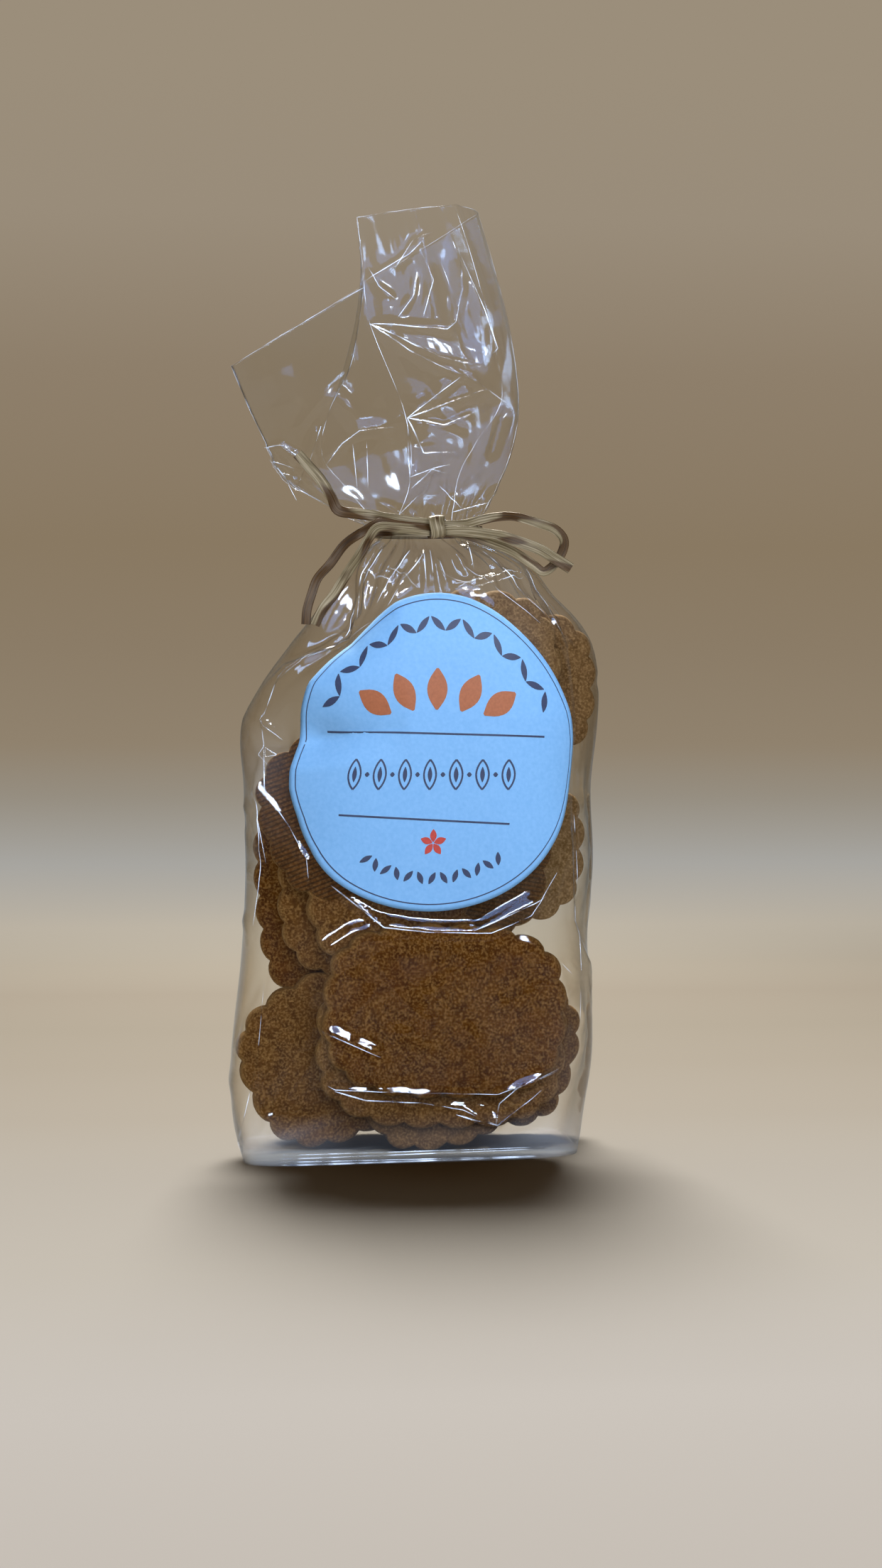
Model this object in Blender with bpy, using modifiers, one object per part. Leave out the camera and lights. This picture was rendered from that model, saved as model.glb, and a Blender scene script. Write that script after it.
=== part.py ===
"""A clear bag of almond sables, tied at the neck with raffia and closed by a round paper label.

One frame in metres: +Z up, the front of the bag towards -Y, the origin at the middle of the flat base.
Three pieces: the filled bag, the label and the raffia tie.
"""

import math

import bmesh
import bpy
from mathutils import Matrix, Vector

MM = 0.001
SHARP_ANGLE = 35.0

# The bag, in millimetres: each row is one level of the filled film.
# Height, left, right, front, back, then how square the left and the right half are.
LEVELS = (
    (0, -49.0, 50.0, -29.0, 29.0, 7.0, 6.0),
    (12, -52.0, 51.5, -30.0, 30.0, 6.0, 5.0),
    (28, -52.5, 53.0, -30.5, 30.5, 5.0, 4.5),
    (58, -49.5, 51.5, -30.0, 30.0, 3.6, 4.0),
    (86, -48.0, 54.5, -31.0, 30.5, 2.6, 4.0),
    (108, -48.5, 54.5, -31.0, 30.5, 2.5, 3.8),
    (126, -49.5, 56.5, -30.5, 30.0, 2.5, 3.6),
    (138, -44.0, 57.0, -29.5, 29.0, 2.5, 3.2),
    (150, -35.5, 55.5, -27.5, 26.5, 2.4, 2.9),
    (158, -29.0, 51.5, -24.5, 23.0, 2.3, 2.7),
    (167, -22.5, 43.0, -19.5, 18.0, 2.2, 2.5),
    (174, -16.8, 37.0, -14.2, 13.2, 2.1, 2.3),
    (178, -12.6, 30.5, -10.6, 10.2, 2.0, 2.1),
    (182, -8.5, 21.5, -6.8, 6.8, 2.0, 2.0),
    (188, -8.5, 21.5, -6.8, 6.8, 2.0, 2.0),
    (193, -8.0, 21.0, -5.0, 5.0, 2.0, 2.0),
    (197, -6.0, 20.0, -2.0, 2.0, 2.0, 2.0),
)
TIE_HEIGHT = 185.0
TOP_OF_GATHER = 197.0
ROW_STEP = 7.5
COLUMNS = 56
HALF_WIDTH = 50.0
HALF_DEPTH = 30.0
BASE_SKEW = 0.10
SKEW_ENDS = 165.0

# Pleats where the film is gathered, under the tie.
PLEATS = 14
PLEAT_DEPTH = 0.07
PLEATS_START = 164.0
PLEATS_END = 182.0

# A dent in the film beside the label's left edge.
DENT_AT = (-36.0, 122.0)
DENT_SIZE = 12.0
DENT_DEPTH = 3.0

# The sables: scalloped, rounded rectangles cut from one sheet of dough.
SABLE_LENGTH = 72.0
SABLE_WIDTH = 51.0
SABLE_THICKNESS = 8.0
SABLE_POWER = 3.0
SCALLOPS = 20
SCALLOP_DEPTH = 1.5
STEPS_PER_SCALLOP = 4
OUTLINE_STEPS = 2000
SABLE_EDGE = 1.2

# Sables that press the film outwards: x, y, z of the centre, then the spin in its own plane,
# the lean of its top towards the front and the turn about the vertical, in degrees.
PRESSING_SABLES = {
    "front": (9.0, -27.0, 43.5, 2, 0, 5),
    "left_low": (-15.0, -3.6, 31.5, -24, 0, 5),
    "left_middle": (-17.5, 3.8, 61.0, -50, 0, 5),
    "left_behind": (-14.0, 11.6, 78.0, -28, 0, 4),
    "left_high": (-17.0, -18.2, 93.0, -67, 0, -6),
    "right_low": (19.3, 20.0, 31.0, 16, 0, 5),
    "right_middle": (21.0, 21.0, 90.0, 2, 0, 3),
    "right_high": (21.8, -2.8, 139.0, 2, 0, 5),
    "back_low": (-4.0, 27.0, 29.0, 4, 0, 5),
    "back_middle": (-2.0, 27.6, 85.0, -14, 0, 5),
    "back_high": (12.0, 18.5, 139.8, -3, 10, 4),
}

# The two layers of film that stand open above the tie: their edges from the tie upwards, x and z.
FRONT_LAYER_LEFT = ((-5, 189.5), (0.5, 199), (-1, 218), (-11.7, 245), (-13.7, 261), (-15.3, 277))
FRONT_LAYER_RIGHT = ((19, 189.5), (28.5, 200), (33.5, 217), (33.0, 230), (29.0, 255), (21.7, 283))
BACK_LAYER_LEFT = ((-7, 189.5), (-22, 191.5), (-32, 196), (-39, 204), (-47, 219), (-53, 233))
BACK_LAYER_RIGHT = ((19, 189.5), (28, 197), (32.5, 212), (34.0, 228), (30.0, 255), (25.0, 279))
LAYER_THICKNESS = 1.2
LAYER_COLUMNS = 14
LAYER_ROWS = 15

# How far each layer stands from the middle, at the tie and at its upper edge, and its folds:
# depth, number of waves from edge to edge, and shift in radians.
FRONT_LAYER_REACH = (-3.5, -9.0)
BACK_LAYER_REACH = (3.5, 12.0)
FRONT_LAYER_FOLDS = ((3.4, 1.3, 0.6), (1.5, 2.6, 0.0))
BACK_LAYER_FOLDS = ((3.2, 1.6, 2.4), (1.4, 3.4, 0.0))
FOLDS_RISE = 2.2

# The label, a paper disc that follows the film.
LABEL_CENTRE = (6.0, 118.5)
LABEL_RADIUS = 46.0
LABEL_THICKNESS = 0.4
LABEL_CLEARANCE = 0.5
LABEL_RINGS = 8
LABEL_SPOKES = 40
FILM_STEP = 0.5

# The raffia: a band round the neck, a knot in front, and the strands of the bow (x, y, z).
BAND_HEIGHT = 4.6
BAND_THICKNESS = 1.1
BAND_CLEARANCE = 0.4
BAND_STEPS = 40
KNOT_CENTRE = (7.8, -9.6, 185.0)
KNOT_SIZE = (5.0, 3.6, 5.2)
KNOT_ROUNDING = 0.9
STRAND_THICKNESS = 0.8
STRANDS = {
    "upper_left": (
        2.6,
        ((6, -9.0, 186), (-2, -9.6, 187), (-9, -9.4, 188.2), (-15.7, -8.8, 189), (-21, -8.0, 190),
         (-23, -7.4, 194), (-26, -6.6, 199), (-29.4, -5.8, 203), (-33, -5.2, 207)),
    ),
    "left_tail_outer": (
        2.5,
        ((6, -9.6, 184.6), (-3, -11.2, 185.4), (-9, -12.6, 185.9), (-14.7, -14.0, 182.6),
         (-19.5, -15.4, 179), (-23.6, -16.6, 173.4), (-27.4, -17.4, 169.0), (-29.2, -17.8, 164.2),
         (-30.5, -17.8, 159.7), (-30.8, -17.4, 155.5)),
    ),
    "left_tail_inner": (
        2.8,
        ((6, -10.2, 183.8), (-3, -12.4, 184.4), (-9.4, -14.0, 184.4), (-12.4, -15.2, 180.8),
         (-14.7, -16.6, 176.6), (-17.8, -18.2, 172), (-20.3, -19.4, 168), (-22.6, -20.6, 164.2),
         (-26.1, -21.6, 159.7), (-28.4, -22.0, 155)),
    ),
    "right_loop": (
        2.2,
        ((9, -9.4, 185.8), (16, -11.2, 185.8), (21, -12.6, 187), (26.2, -13.8, 187.9), (31.2, -14.6, 187.8),
         (38.1, -15.0, 185.9), (42.6, -14.8, 184.3), (45.4, -14.2, 181.4), (45.2, -13.2, 178),
         (42.8, -12.2, 174), (39.6, -11.8, 172), (36.4, -11.6, 174.2), (30, -11.4, 178.2),
         (19, -10.6, 182.2), (9, -9.0, 184.2)),
    ),
    "right_tail": (
        3.2,
        ((9, -10.4, 183.6), (16, -12.8, 183.6), (21, -14.4, 183), (26.2, -15.8, 182), (31.4, -17.0, 180.3),
         (37.7, -17.8, 178), (42.2, -18.2, 175.3), (47, -18.4, 172.3)),
    ),
}
STRAND_STEPS = 3


def clear_scene():
    for item in list(bpy.data.objects):
        bpy.data.objects.remove(item)


def collection(name):
    made = bpy.data.collections.new(name)
    bpy.context.scene.collection.children.link(made)
    return made


def linear(hex_colour):
    channels = []
    for start in (0, 2, 4):
        value = int(hex_colour[start:start + 2], 16) / 255
        channels.append(value / 12.92 if value <= 0.04045 else ((value + 0.055) / 1.055) ** 2.4)
    return (*channels, 1.0)


def material(name, hex_colour, roughness, alpha=1.0):
    made = bpy.data.materials.new(name)
    made.use_nodes = True
    shader = made.node_tree.nodes["Principled BSDF"]
    shader.inputs["Base Color"].default_value = linear(hex_colour)
    shader.inputs["Roughness"].default_value = roughness
    shader.inputs["Metallic"].default_value = 0.0
    shader.inputs["Alpha"].default_value = alpha
    return made


def object_from(mesh_maker, name, target):
    """A new object whose mesh, in millimetres, mesh_maker fills in."""
    shape = bmesh.new()
    mesh_maker(shape)
    bmesh.ops.scale(shape, vec=(MM, MM, MM), verts=shape.verts)
    bmesh.ops.recalc_face_normals(shape, faces=shape.faces)
    mesh = bpy.data.meshes.new(name)
    shape.to_mesh(mesh)
    shape.free()
    made = bpy.data.objects.new(name, mesh)
    target.objects.link(made)
    return made


def spline(points, place):
    """The point at place, from 0 to 1, of a smooth curve through the points."""
    last = len(points) - 1
    whole = min(int(place * last), last - 1)
    part = place * last - whole
    before, start, end, after = (
        Vector(points[min(max(whole + step, 0), last)]) for step in (-1, 0, 1, 2)
    )
    return 0.5 * (
        2 * start
        + (end - before) * part
        + (2 * before - 5 * start + 4 * end - after) * part**2
        + (3 * start - before - 3 * end + after) * part**3
    )


def level(height):
    """The six sizes of the film's outline at a height, on a smooth curve through the levels."""
    last = len(LEVELS) - 1
    row = 0
    while row < last - 1 and height > LEVELS[row + 1][0]:
        row += 1
    before, low, high, after = (LEVELS[min(max(row + step, 0), last)] for step in (-1, 0, 1, 2))
    gap = high[0] - low[0]
    part = min(max((height - low[0]) / gap, 0), 1)
    sizes = []
    for earlier, start, end, later in zip(before[1:], low[1:], high[1:], after[1:]):
        slope_in = (end - earlier) / (high[0] - before[0]) * gap
        slope_out = (later - start) / (after[0] - low[0]) * gap
        sizes.append(
            (2 * part**3 - 3 * part**2 + 1) * start
            + (part**3 - 2 * part**2 + part) * slope_in
            + (3 * part**2 - 2 * part**3) * end
            + (part**3 - part**2) * slope_out
        )
    return sizes


def film_point(along, height):
    """A point of the film: along runs round the bag from the middle of its front, in millimetres."""
    left, right, front, back, left_power, right_power = level(height)
    length = 4 * (HALF_WIDTH + HALF_DEPTH)
    along %= length
    corners = (
        (0, 0, -1),
        (HALF_WIDTH, 1, -1),
        (HALF_WIDTH + 2 * HALF_DEPTH, 1, 1),
        (3 * HALF_WIDTH + 2 * HALF_DEPTH, -1, 1),
        (3 * HALF_WIDTH + 4 * HALF_DEPTH, -1, -1),
        (length, 0, -1),
    )
    for (start, x0, y0), (end, x1, y1) in zip(corners, corners[1:]):
        if along <= end:
            break
    part = (along - start) / (end - start)
    across = x0 + (x1 - x0) * part
    deep = y0 + (y1 - y0) * part
    power = left_power if across < 0 else right_power
    reach = (abs(across) ** power + abs(deep) ** power) ** (-1 / power)
    middle = (left + right) / 2
    x = middle + across * reach * (right - left) / 2
    y = (front + back) / 2 + deep * reach * (back - front) / 2
    y += BASE_SKEW * (x - middle) * max(0, 1 - height / SKEW_ENDS)
    if deep < 0:
        away = math.hypot(x - DENT_AT[0], height - DENT_AT[1]) / DENT_SIZE
        y += DENT_DEPTH * math.exp(-away * away)
    return Vector((x, y, height))


def pleated(point, along, height):
    """The point moved in or out by the pleats that gather the film under the tie."""
    if not PLEATS_START < height < PLEATS_END:
        return point
    left, right = level(height)[:2]
    middle = Vector(((left + right) / 2, 0, height))
    rise = (height - PLEATS_START) / (PLEATS_END - PLEATS_START)
    turn = 2 * math.pi * PLEATS * along / (4 * (HALF_WIDTH + HALF_DEPTH))
    depth = PLEAT_DEPTH * math.sin(math.pi * rise) * math.cos(turn)
    return middle + (point - middle) * (1 + depth)


def row_heights():
    """Heights of the rows of faces: every level, with more rows where two levels are far apart."""
    heights = []
    for low, high in zip(LEVELS, LEVELS[1:]):
        steps = max(1, round((high[0] - low[0]) / ROW_STEP))
        heights += [low[0] + (high[0] - low[0]) * step / steps for step in range(steps)]
    return heights + [TOP_OF_GATHER]


def fill_body(shape):
    """The film's outer surface from the flat base to just above the tie, closed at both ends."""
    rings = []
    for height in row_heights():
        ring = []
        for column in range(COLUMNS):
            along = 4 * (HALF_WIDTH + HALF_DEPTH) * column / COLUMNS
            ring.append(shape.verts.new(pleated(film_point(along, height), along, height)))
        rings.append(ring)
    for lower, upper in zip(rings, rings[1:]):
        for column in range(COLUMNS):
            after = (column + 1) % COLUMNS
            shape.faces.new((lower[column], lower[after], upper[after], upper[column]))
    shape.faces.new(rings[0])
    shape.faces.new(rings[-1])


def sable_outline():
    """The scalloped outline in the XZ plane, its points even along its length."""
    fine = []
    for step in range(OUTLINE_STEPS):
        turn = 2 * math.pi * step / OUTLINE_STEPS
        across, up = math.cos(turn), math.sin(turn)
        reach = (abs(2 * across / SABLE_LENGTH) ** SABLE_POWER
                 + abs(2 * up / SABLE_WIDTH) ** SABLE_POWER) ** (-1 / SABLE_POWER)
        fine.append(Vector((across * reach, 0, up * reach)))
    lengths = [0.0]
    for start, end in zip(fine, fine[1:] + fine[:1]):
        lengths.append(lengths[-1] + (end - start).length)
    points = []
    count = SCALLOPS * STEPS_PER_SCALLOP
    place = 0
    for step in range(count):
        wanted = lengths[-1] * step / count
        while lengths[place + 1] <= wanted:
            place += 1
        here = fine[place]
        ahead = fine[(place + 1) % len(fine)] - here
        outward = Vector((ahead.z, 0, -ahead.x)).normalized()
        dip = SCALLOP_DEPTH * (1 - abs(math.sin(math.pi * step / STEPS_PER_SCALLOP)))
        points.append(here - outward * dip)
    return points


def fill_sable(shape):
    """One sable, lying in the XZ plane, its upper and lower rims eased."""
    outline = sable_outline()
    half = SABLE_THICKNESS / 2
    inner = 1 - 2 * SABLE_EDGE / SABLE_WIDTH
    rings = []
    for depth, size in ((-half, inner), (SABLE_EDGE - half, 1), (half - SABLE_EDGE, 1), (half, inner)):
        rings.append([shape.verts.new(Vector((p.x * size, depth, p.z * size))) for p in outline])
    count = len(outline)
    for lower, upper in zip(rings, rings[1:]):
        for step in range(count):
            after = (step + 1) % count
            shape.faces.new((lower[step], upper[step], upper[after], lower[after]))
    shape.faces.new(rings[0])
    shape.faces.new(rings[-1])


def place_sable(made, place):
    x, y, z, spin, lean, turn = place
    turned = (
        Matrix.Rotation(math.radians(turn), 4, "Z")
        @ Matrix.Rotation(math.radians(lean), 4, "X")
        @ Matrix.Rotation(math.radians(spin), 4, "Y")
    )
    made.matrix_world = Matrix.Translation(Vector((x, y, z)) * MM) @ turned


def layer_depth(across, up, reach, folds):
    """How far forwards or back a point of a layer lies; its folds deepen upwards from the tie."""
    depth = reach[0] + (reach[1] - reach[0]) * math.sin(0.5 * math.pi * up)
    for size, waves, shift in folds:
        depth += size * math.sin(2 * math.pi * waves * across + shift) * min(1, FOLDS_RISE * up)
    return depth


def layer_surface(left_edge, right_edge, reach, folds):
    """A maker of one wavy layer of film, between two edges that rise from the tie."""
    def fill(shape):
        grid = []
        for row in range(LAYER_ROWS + 1):
            up = row / LAYER_ROWS
            left, right = spline(left_edge, up), spline(right_edge, up)
            line = []
            for column in range(LAYER_COLUMNS + 1):
                across = column / LAYER_COLUMNS
                x, z = left.lerp(right, across)
                y = layer_depth(across, up, reach, folds)
                line.append(shape.verts.new(Vector((x, y, z))))
            grid.append(line)
        for lower, upper in zip(grid, grid[1:]):
            for column in range(LAYER_COLUMNS):
                corners = (lower[column], lower[column + 1], upper[column + 1], upper[column])
                shape.faces.new(corners)
        bmesh.ops.triangulate(shape, faces=shape.faces, quad_method="FIXED")
    return fill


def thicken(made, thickness):
    wall = made.modifiers.new("Wall", "SOLIDIFY")
    wall.thickness = thickness * MM
    wall.offset = 0.0
    wall.use_even_offset = True


def apply_modifiers(made):
    graph = bpy.context.evaluated_depsgraph_get()
    mesh = bpy.data.meshes.new_from_object(made.evaluated_get(graph))
    made.modifiers.clear()
    made.data = mesh


def join(base, pieces, solver):
    """Unites the pieces of a collection with the base, then removes the collection."""
    union = base.modifiers.new("Union", "BOOLEAN")
    union.operation = "UNION"
    union.operand_type = "COLLECTION"
    union.collection = pieces
    union.solver = solver
    apply_modifiers(base)
    for item in list(pieces.objects):
        bpy.data.objects.remove(item)
    bpy.data.collections.remove(pieces)


def finish(made, finish_material):
    made.data.materials.clear()
    made.data.materials.append(finish_material)
    made.data.shade_smooth()
    made.data.set_sharp_from_angle(angle=math.radians(SHARP_ANGLE))


def make_bag(target):
    bag = object_from(fill_body, "bag", target)
    pieces = collection("bag_pieces")
    front = layer_surface(FRONT_LAYER_LEFT, FRONT_LAYER_RIGHT, FRONT_LAYER_REACH, FRONT_LAYER_FOLDS)
    back = layer_surface(BACK_LAYER_LEFT, BACK_LAYER_RIGHT, BACK_LAYER_REACH, BACK_LAYER_FOLDS)
    for name, surface in (("front_layer", front), ("back_layer", back)):
        thicken(object_from(surface, name, pieces), LAYER_THICKNESS)
    for name, place in PRESSING_SABLES.items():
        place_sable(object_from(fill_sable, name, pieces), place)
    bpy.context.view_layer.update()
    join(bag, pieces, "MANIFOLD")
    finish(bag, material("clear_film_over_sables", "b59a78", 0.12, 0.6))


def front_along(arc, height, middle):
    """The place round the bag that lies arc millimetres along the film from x = middle, on the front."""
    along = middle - sum(level(height)[:2]) / 2
    step = FILM_STEP if arc > 0 else -FILM_STEP
    walked = 0.0
    here = film_point(along, height)
    while walked < abs(arc):
        along += step
        ahead = film_point(along, height)
        walked += (ahead - here).length
        here = ahead
    return along


def fill_label(shape):
    """The label's middle surface: a disc laid on the film, held just clear of it."""
    lift = LABEL_CLEARANCE + LABEL_THICKNESS / 2

    def on_film(radius, turn):
        height = LABEL_CENTRE[1] + radius * math.sin(turn)
        along = front_along(radius * math.cos(turn), height, LABEL_CENTRE[0])
        here = film_point(along, height)
        beside = film_point(along + 1, height) - film_point(along - 1, height)
        above = film_point(along, height + 1) - film_point(along, height - 1)
        return here + beside.cross(above).normalized() * lift

    centre = shape.verts.new(on_film(0, 0))
    inner = []
    for ring in range(1, LABEL_RINGS + 1):
        outer = [
            shape.verts.new(on_film(LABEL_RADIUS * ring / LABEL_RINGS, 2 * math.pi * spoke / LABEL_SPOKES))
            for spoke in range(LABEL_SPOKES)
        ]
        for spoke in range(LABEL_SPOKES):
            after = (spoke + 1) % LABEL_SPOKES
            if inner:
                shape.faces.new((inner[spoke], outer[spoke], outer[after], inner[after]))
            else:
                shape.faces.new((centre, outer[spoke], outer[after]))
        inner = outer
    bmesh.ops.triangulate(shape, faces=shape.faces, quad_method="FIXED")


def make_label(target):
    label = object_from(fill_label, "label", target)
    thicken(label, LABEL_THICKNESS)
    finish(label, material("uncoated_paper", "cfdcf0", 0.75))


def fill_band(shape):
    """A flat ring that follows the gathered neck."""
    edges = (TIE_HEIGHT - BAND_HEIGHT / 2, TIE_HEIGHT + BAND_HEIGHT / 2)
    middle = sum(level(TIE_HEIGHT)[:2]) / 2
    widest = max(level(height)[1] for height in edges) - middle
    deepest = max(level(height)[3] for height in edges)
    rings = []
    for growth in (BAND_CLEARANCE, BAND_CLEARANCE + BAND_THICKNESS):
        for height in edges:
            ring = []
            for step in range(BAND_STEPS):
                turn = 2 * math.pi * step / BAND_STEPS
                x = middle + (widest + growth) * math.cos(turn)
                y = (deepest + growth) * math.sin(turn)
                ring.append(shape.verts.new(Vector((x, y, height))))
            rings.append(ring)
    inner_low, inner_high, outer_low, outer_high = rings
    for first, second in (
        (inner_low, inner_high), (inner_high, outer_high), (outer_high, outer_low), (outer_low, inner_low)
    ):
        for step in range(BAND_STEPS):
            after = (step + 1) % BAND_STEPS
            shape.faces.new((first[step], first[after], second[after], second[step]))


def strand_surface(width, route):
    """A maker of one flat strand that faces forwards and follows its route."""
    def fill(shape):
        count = (len(route) - 1) * STRAND_STEPS
        pairs = []
        for step in range(count + 1):
            here = spline(route, step / count)
            ahead = spline(route, min(1, (step + 0.5) / count)) - spline(route, max(0, (step - 0.5) / count))
            side = ahead.cross(Vector((0, -1, 0))).normalized() * width / 2
            pairs.append((shape.verts.new(here - side), shape.verts.new(here + side)))
        for (low, high), (next_low, next_high) in zip(pairs, pairs[1:]):
            shape.faces.new((low, next_low, next_high, high))
        bmesh.ops.triangulate(shape, faces=shape.faces, quad_method="FIXED")
    return fill


def make_raffia_tie(target):
    tie = object_from(fill_band, "raffia_tie", target)
    pieces = collection("raffia_pieces")
    for name, (width, route) in STRANDS.items():
        thicken(object_from(strand_surface(width, route), name, pieces), STRAND_THICKNESS)
    bpy.ops.mesh.primitive_cube_add(size=1, location=Vector(KNOT_CENTRE) * MM)
    knot = bpy.context.object
    knot.name = "knot"
    knot.data.transform(Matrix.Diagonal((*(Vector(KNOT_SIZE) * MM), 1)))
    for holder in list(knot.users_collection):
        holder.objects.unlink(knot)
    pieces.objects.link(knot)
    rounding = knot.modifiers.new("Rounding", "BEVEL")
    rounding.width = KNOT_ROUNDING * MM
    rounding.segments = 2
    bpy.context.view_layer.update()
    join(tie, pieces, "MANIFOLD")
    finish(tie, material("dried_raffia", "a3906a", 0.6))


def main():
    clear_scene()
    parts = collection("bag_of_almond_sables")
    make_bag(parts)
    make_label(parts)
    make_raffia_tie(parts)


main()
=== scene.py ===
"""The looks of a clear bag of almond sables: baked sables, cellophane, a paper label and a raffia bow.

Sizes are in millimetres in the part's own frame, +Z up and the label towards -Y, until a mesh is made.
"""

import math
import random

import bpy
import numpy as np
from mathutils import Euler, Matrix, Vector
from mathutils.bvhtree import BVHTree


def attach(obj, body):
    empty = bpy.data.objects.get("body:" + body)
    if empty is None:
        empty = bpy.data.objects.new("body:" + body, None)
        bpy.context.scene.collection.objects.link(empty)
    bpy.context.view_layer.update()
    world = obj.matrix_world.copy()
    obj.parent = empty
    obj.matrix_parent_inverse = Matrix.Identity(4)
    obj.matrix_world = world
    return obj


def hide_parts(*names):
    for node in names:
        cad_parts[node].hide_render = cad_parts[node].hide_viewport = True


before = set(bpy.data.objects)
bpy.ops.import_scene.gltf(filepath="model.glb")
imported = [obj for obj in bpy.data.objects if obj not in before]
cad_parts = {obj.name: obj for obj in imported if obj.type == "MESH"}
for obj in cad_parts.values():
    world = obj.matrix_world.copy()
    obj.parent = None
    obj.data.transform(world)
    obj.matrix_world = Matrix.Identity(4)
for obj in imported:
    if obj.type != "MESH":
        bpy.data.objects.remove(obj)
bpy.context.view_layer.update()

MM = 0.001

# The film, the same levels as the solid that it stands for: height, left, right, front, back,
# then how square the left and the right half of the outline are.
LEVELS = (
    (0, -49.0, 50.0, -29.0, 29.0, 7.0, 6.0),
    (12, -52.0, 51.5, -30.0, 30.0, 6.0, 5.0),
    (28, -52.5, 53.0, -30.5, 30.5, 5.0, 4.5),
    (58, -49.5, 51.5, -30.0, 30.0, 3.6, 4.0),
    (86, -48.0, 54.5, -31.0, 30.5, 2.6, 4.0),
    (108, -48.5, 54.5, -31.0, 30.5, 2.5, 3.8),
    (126, -49.5, 56.5, -30.5, 30.0, 2.5, 3.6),
    (138, -44.0, 57.0, -29.5, 29.0, 2.5, 3.2),
    (150, -35.5, 55.5, -27.5, 26.5, 2.4, 2.9),
    (158, -29.0, 51.5, -24.5, 23.0, 2.3, 2.7),
    (167, -22.5, 43.0, -19.5, 18.0, 2.2, 2.5),
    (174, -16.8, 37.0, -14.2, 13.2, 2.1, 2.3),
    (178, -12.6, 30.5, -10.6, 10.2, 2.0, 2.1),
    (182, -8.5, 21.5, -6.8, 6.8, 2.0, 2.0),
    (188, -8.5, 21.5, -6.8, 6.8, 2.0, 2.0),
)
HALF_WIDTH = 50.0
HALF_DEPTH = 30.0
ROUND = 4 * (HALF_WIDTH + HALF_DEPTH)
# How far the base is turned out of square, and the height at which that has died away.
BASE_SKEW = 0.10
SKEW_ENDS = 165.0
# The dent in the front at the left of the label: where it is, how wide and how deep.
DENT_AT = (-36.0, 122.0)
DENT_SIZE = 12.0
DENT_DEPTH = 3.0

# The sables, 72 by 51 by 8 mm: x, y, z of the centre, spin in its own plane, lean of its top towards
# the front, turn about the vertical in degrees, size, and painted light: how much paler its crumb is
# painted where it sits deeper in shade or behind the film's sheen. A turn past 90 shows the underside.
SABLES = (
    (9.0, -27.0, 43.5, 2, 0, 5, 1.0, 0.0),
    (8.8, -18.6, 34.5, 2, 0, 5, 1.04, 0.6),
    (6.0, -10.6, 36.3, 82, 0, 5, 0.98, 1.0),
    (-15.0, -3.6, 31.5, -24, 0, 5, 1.0, 0.4),
    (19.3, 20.0, 31.0, 16, 0, 5, 1.01, 0.3),
    (-4.0, 27.0, 29.0, -4, 0, 185, 1.0, 0.3),
    (-21.0, 6.0, 77.0, 86, 0, -6, 0.98, 0.0),
    (-9.0, -19.6, 105.0, 21, 0, 176, 1.0, 0.2),
    (-13.5, -6.0, 86.0, 95, 0, 0, 0.98, 0.3),
    (-7.5, -15.0, 88.0, 86, 0, 8, 0.98, 0.4),
    (8.0, -2.6, 89.0, -10, 0, 185, 0.98, 0.5),
    (21.0, 21.0, 90.0, 2, 0, 3, 1.0, 2.2),
    (-2.0, 27.6, 85.0, 14, 0, 185, 1.0, 0.3),
    (20.0, -11.0, 130.5, 92, 3, 4, 1.0, 1.6),
    (21.8, -2.8, 139.0, 2, 0, 5, 0.98, 1.4),
    (18.0, 17.5, 139.8, 3, -10, 184, 0.97, 0.3),
)
SABLE_LENGTH = 72.0
SABLE_WIDTH = 51.0
SABLE_THICKNESS = 8.0
# How square the outline of a sable is.
SABLE_POWER = 3.0
SCALLOPS = 20
SCALLOP_DEPTH = 1.8
SCALLOP_ROUNDNESS = 0.8
STEPS_PER_SCALLOP = 8
# A face rises by its crown, in rings at these shares of its reach, to where its edge starts to round.
CROWN = 0.25
FACE_RINGS = (0.12, 0.25, 0.38, 0.5, 0.61, 0.71, 0.8, 0.88, 0.95)
FACE_INSET = 3.2
SCALLOP_INSET = 4.0

LABEL_CENTRE = (6.0, 118.5)
LABEL_RADIUS = 46.0
LABEL_LIFT = 0.3
LABEL_THICKNESS = 0.2
INK_LIFT = 0.06


def linear(hex_colour):
    channels = []
    for start in (0, 2, 4):
        value = int(hex_colour[start:start + 2], 16) / 255
        channels.append(value / 12.92 if value <= 0.04045 else ((value + 0.055) / 1.055) ** 2.4)
    return (*channels, 1.0)


def add(tree, kind, inputs=None, stops=(), **settings):
    """Adds one node to a tree, with its settings, its inputs, and the stops of its colour ramp.
    An input is a value, a socket, or a node, which stands for its first output. A stop is a place and
    a colour, as hex or as linear numbers."""
    made = tree.nodes.new(kind)
    for name, value in settings.items():
        setattr(made, name, value)
    for name, value in (inputs or {}).items():
        if isinstance(value, bpy.types.Node):
            value = value.outputs[0]
        if isinstance(value, bpy.types.NodeSocket):
            tree.links.new(value, made.inputs[name])
        else:
            made.inputs[name].default_value = value
    if stops:
        elements = made.color_ramp.elements
        while len(elements) < len(stops):
            elements.new(0.5)
        for element, (place, colour) in zip(elements, stops):
            element.position = place
            element.color = linear(colour) if isinstance(colour, str) else colour
    return made


def material(name, build, *details, **sizes):
    """A new material, whose surface one of the functions below builds on its tree."""
    made = bpy.data.materials.new(name)
    made.use_nodes = True
    made.node_tree.nodes.clear()
    shader = build(made.node_tree, *details, **sizes)
    add(made.node_tree, "ShaderNodeOutputMaterial", {"Surface": shader})
    return made


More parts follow.
